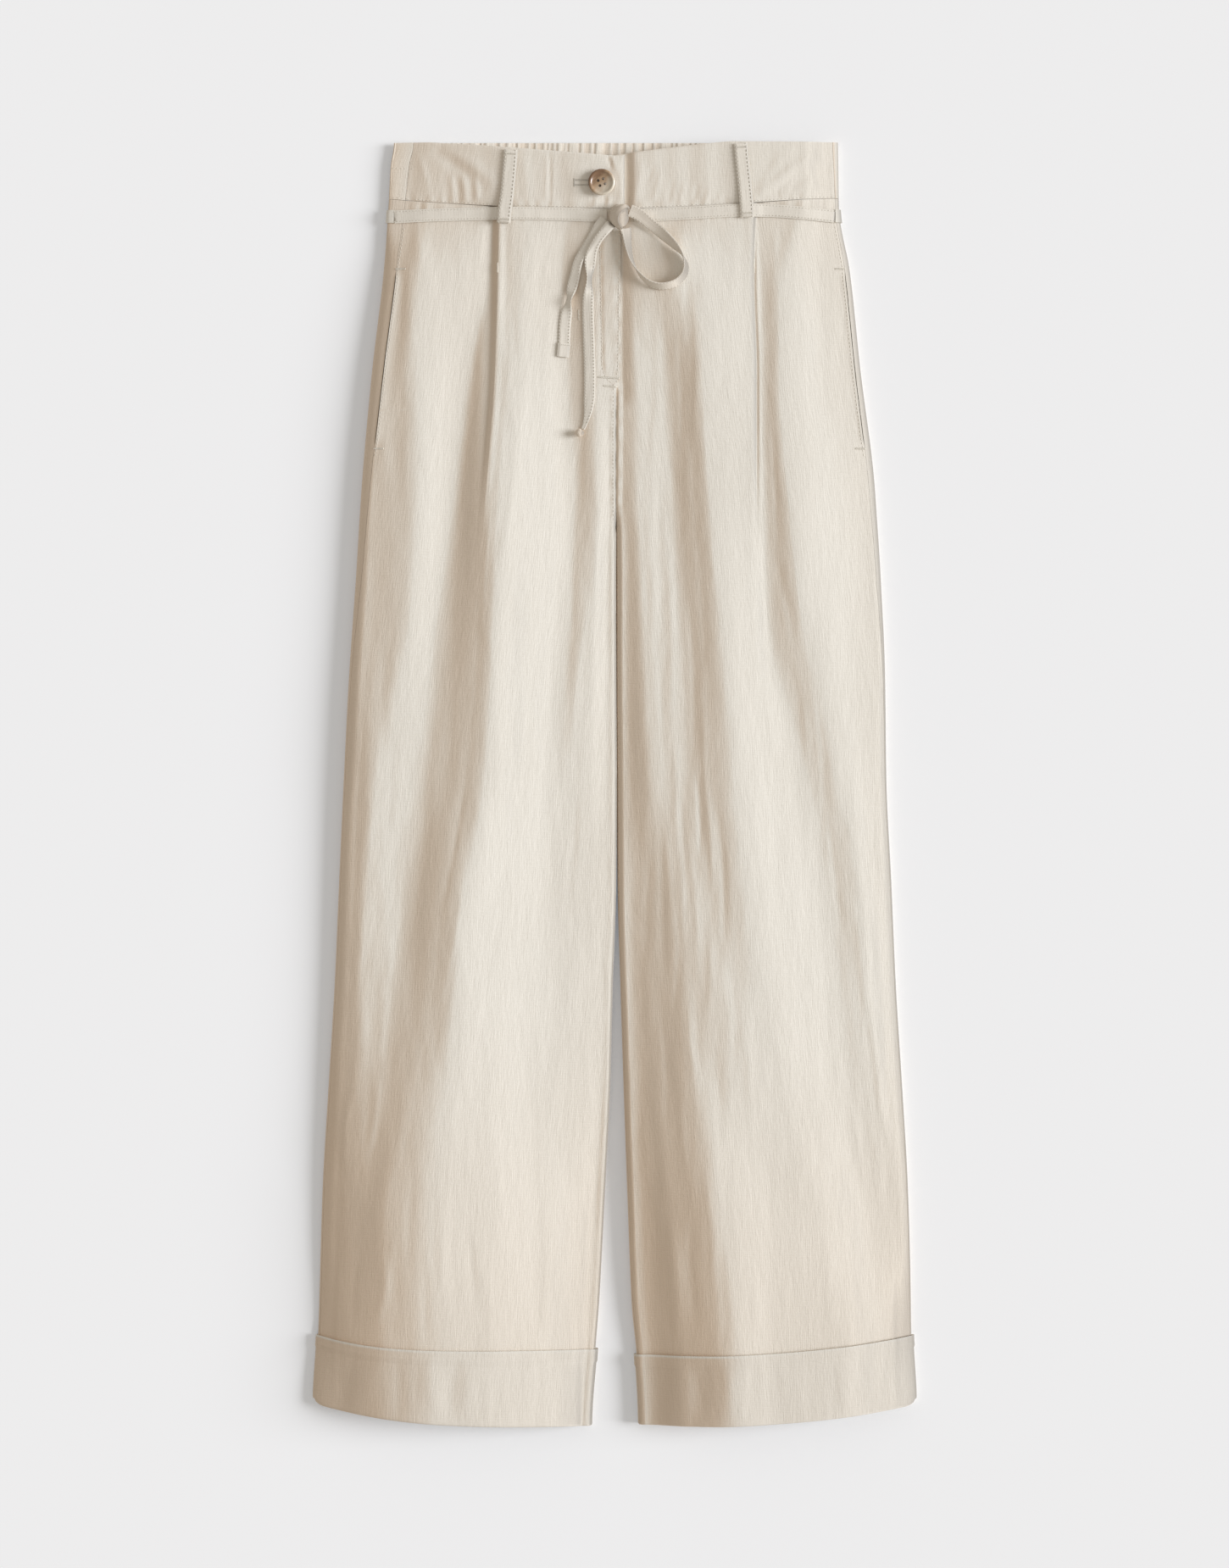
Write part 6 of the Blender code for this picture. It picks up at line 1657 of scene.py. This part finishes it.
for side in sides:
    for end, station in (("top", 2), ("low", -3)):
        stitchAcross(loopEdges[side], station, "tack_loop_%s_%s" % (end, side), 0.08 * mm, range(21),
                     **dict(tackStitch, Thickness=0.4 * mm))
stitchAcross(foldEdges, 1, "stitch_tail_end", 0.1 * mm, range(-2, 23),
             Pitch=1.5 * mm, Length=1.1 * mm, Thickness=0.4 * mm)
print(len(stitchRows), "rows of stitching,", sum(len(r.data.polygons) for r in stitchRows), "faces")


# light and floor
studio = {"floor": (0.874, 0.847, 0.819), "floorGlow": (0.0758, 0.100, 0.129), "floorSize": 12.0,
          "floorHeight": -0.2 * mm, "floorCloud": 0.4, "sun": 4.0, "sunHeight": 20.0,
          "sunTurn": 3.0, "sunSpread": 26.0, "sunColour": (0.955, 1.0, 1.075), "fill": 0.47,
          "fillColour": (1.0, 0.945, 0.87), "litLimit": 1.40, "litLeast": 1.0, "litRange": (1.45, 2.65),
          "rayLength": 0.15, "rayStart": 0.7 * mm, "raySteps": (-9.0, 0.0, 9.0)}


def dress(piece, finish):
    piece.data.materials.clear()
    piece.data.materials.append(finish)


def towardLight(height):
    height, turn = math.radians(height), math.radians(studio["sunTurn"])
    return Vector((math.cos(height) * math.cos(turn), math.cos(height) * math.sin(turn), math.sin(height)))


lightRays = [towardLight(studio["sunHeight"] + step) for step in studio["raySteps"]]


# painted shade on faces turned up to the window light: how far each corner turns to it past a limit, dimming its
# colour so it grows no brighter
def paintLitFaceDimming(piece):
    mesh = piece.data
    normals = np.zeros(len(mesh.loops) * 3, np.float32)
    mesh.corner_normals.foreach_get("vector", normals)
    normals = normals.reshape(-1, 3)
    facing = normals @ np.array(lightRays[1]) / lightRays[1].z
    limit = np.interp(facing, studio["litRange"], (studio["litLimit"], studio["litLeast"]))
    share = np.clip(1.0 - limit / np.maximum(facing, 0.01), 0.0, 0.9)
    places = np.zeros(len(mesh.vertices) * 3, np.float32)
    mesh.vertices.foreach_get("co", places)
    owners = np.zeros(len(mesh.loops), np.int32)
    mesh.loops.foreach_get("vertex_index", owners)
    places = places.reshape(-1, 3)[owners]
    for k in np.nonzero(share > 0.01)[0]:      # less where cloth beside it stands in the light already
        start = Vector(places[k].tolist()) + Vector(normals[k].tolist()) * studio["rayStart"]
        hits = [overLong.ray_cast(start, ray, studio["rayLength"])[0] is not None for ray in lightRays]
        share[k] *= 1.0 - sum(hits) / len(hits)
    mesh.attributes.new("turned", "FLOAT", "CORNER").data.foreach_set("value", share.astype(np.float32))


# finish a piece, let it ride on the trousers and say which solids it stands for
def settle(piece, finish, slot, *nodes):
    if finish is not None:
        dress(piece, finish)
    # cloth and tie pieces get painted dimming where they face the light
    if slot in ("linen", "tie"):
        paintLitFaceDimming(piece)
    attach(piece, "root")
    if nodes:
        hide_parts(*nodes)


# pieces of each side: finish, slot, and the start of the name of the solid each stands for
sidePieces = ((frontPieces, linenFinish, "linen", "front_"), (backPieces, linenFinish, "linen", "back_"),
              (bandPieces, linenFinish, "linen", "waistband_front_"), (turnUps, linenTurnUp, "linen", "cuff_"),
              (beltPieces, linenTape, "tie", "tie_belt_front_"), (loopPieces, linenTape, "linen", "belt_loop_front_"))
for side in sides:
    for pieces, finish, slot, node in sidePieces:
        settle(pieces[side], finish, slot, node + side)
settle(backBand, None, "linen", "waistband_back")
settle(beltBack, linenTape, "tie", "tie_belt_back")
settle(shortPiece, linenTape, "tie", "tie_tail_short")
settle(foldPiece, linenTape, "tie")
settle(longPiece, linenTape, "tie", "tie_tail_long")
settle(bowPiece, linenTape, "tie", "tie_bow_loop")
settle(knotPiece, linenKnot, "tie", "tie_knot")
settle(wrapPiece, linenKnot, "tie")
settle(endPiece, linenTape, "tie", "tie_end_knot")
settle(buttonHorn, hornFinish, "button", "waist_button")
# the button's thread and shank take the near-black thread: painted shade
settle(buttonThread, holeShadeThread, "button")
rowThreads = {"buttonhole": threadShaded, "tack": threadTack, "stitch": threadFinish}
for row in stitchRows:
    settle(row, rowThreads[row.name.split("_")[0]], "linen")
for place in ("right", "centre", "left"):
    dress(bpy.data.objects["belt_loop_back_" + place], linenPlain)
for side in sides:
    dress(bpy.data.objects["pocket_bag_" + side], pocketFinish)


print("pieces ride on the trousers")

# a pale floor sheet, one broad light from the right, soft fill
floorMesh = bpy.data.meshes.new("studioFloor")
half = 0.5 * studio["floorSize"]
floorMesh.from_pydata([(x * half, y * half, studio["floorHeight"]) for x, y in ((-1, -1), (1, -1), (1, 1), (-1, 1))],
                      [], [(0, 1, 2, 3)])
floor = addObject("studioFloor", floorMesh)
floorFinish, tree, shader = newFinish("paleFloor")
cloud = stretchedNoise(tree, objectPlace(tree), studio["floorCloud"], studio["floorCloud"])
fillNode(tree, shader, {
    "Base Color": mixColours(tree, cloud, toned(studio["floor"], 0.999), toned(studio["floor"], 1.001)),
    "Roughness": 1.0, "Specular IOR Level": 0.0, "Emission Color": (*studio["floorGlow"], 1.0),
    "Emission Strength": 1.0})
floorMesh.materials.append(floorFinish)

sunData = bpy.data.lights.new("windowLight", "SUN")
sunData.energy = studio["sun"]
sunData.color = studio["sunColour"]
sunData.angle = math.radians(studio["sunSpread"])
sun = addObject("windowLight", sunData)
sun.rotation_euler = (0.0, math.radians(90.0 - studio["sunHeight"]), math.radians(studio["sunTurn"]))
world = bpy.data.worlds.new("softRoom")
world.use_nodes = True
backdrop = world.node_tree.nodes["Background"]
backdrop.inputs["Color"].default_value = (*studio["fillColour"], 1.0)
backdrop.inputs["Strength"].default_value = studio["fill"]
scene.world = world
scene.view_settings.view_transform = "Standard"
scene.view_settings.look = "None"
print("light set")
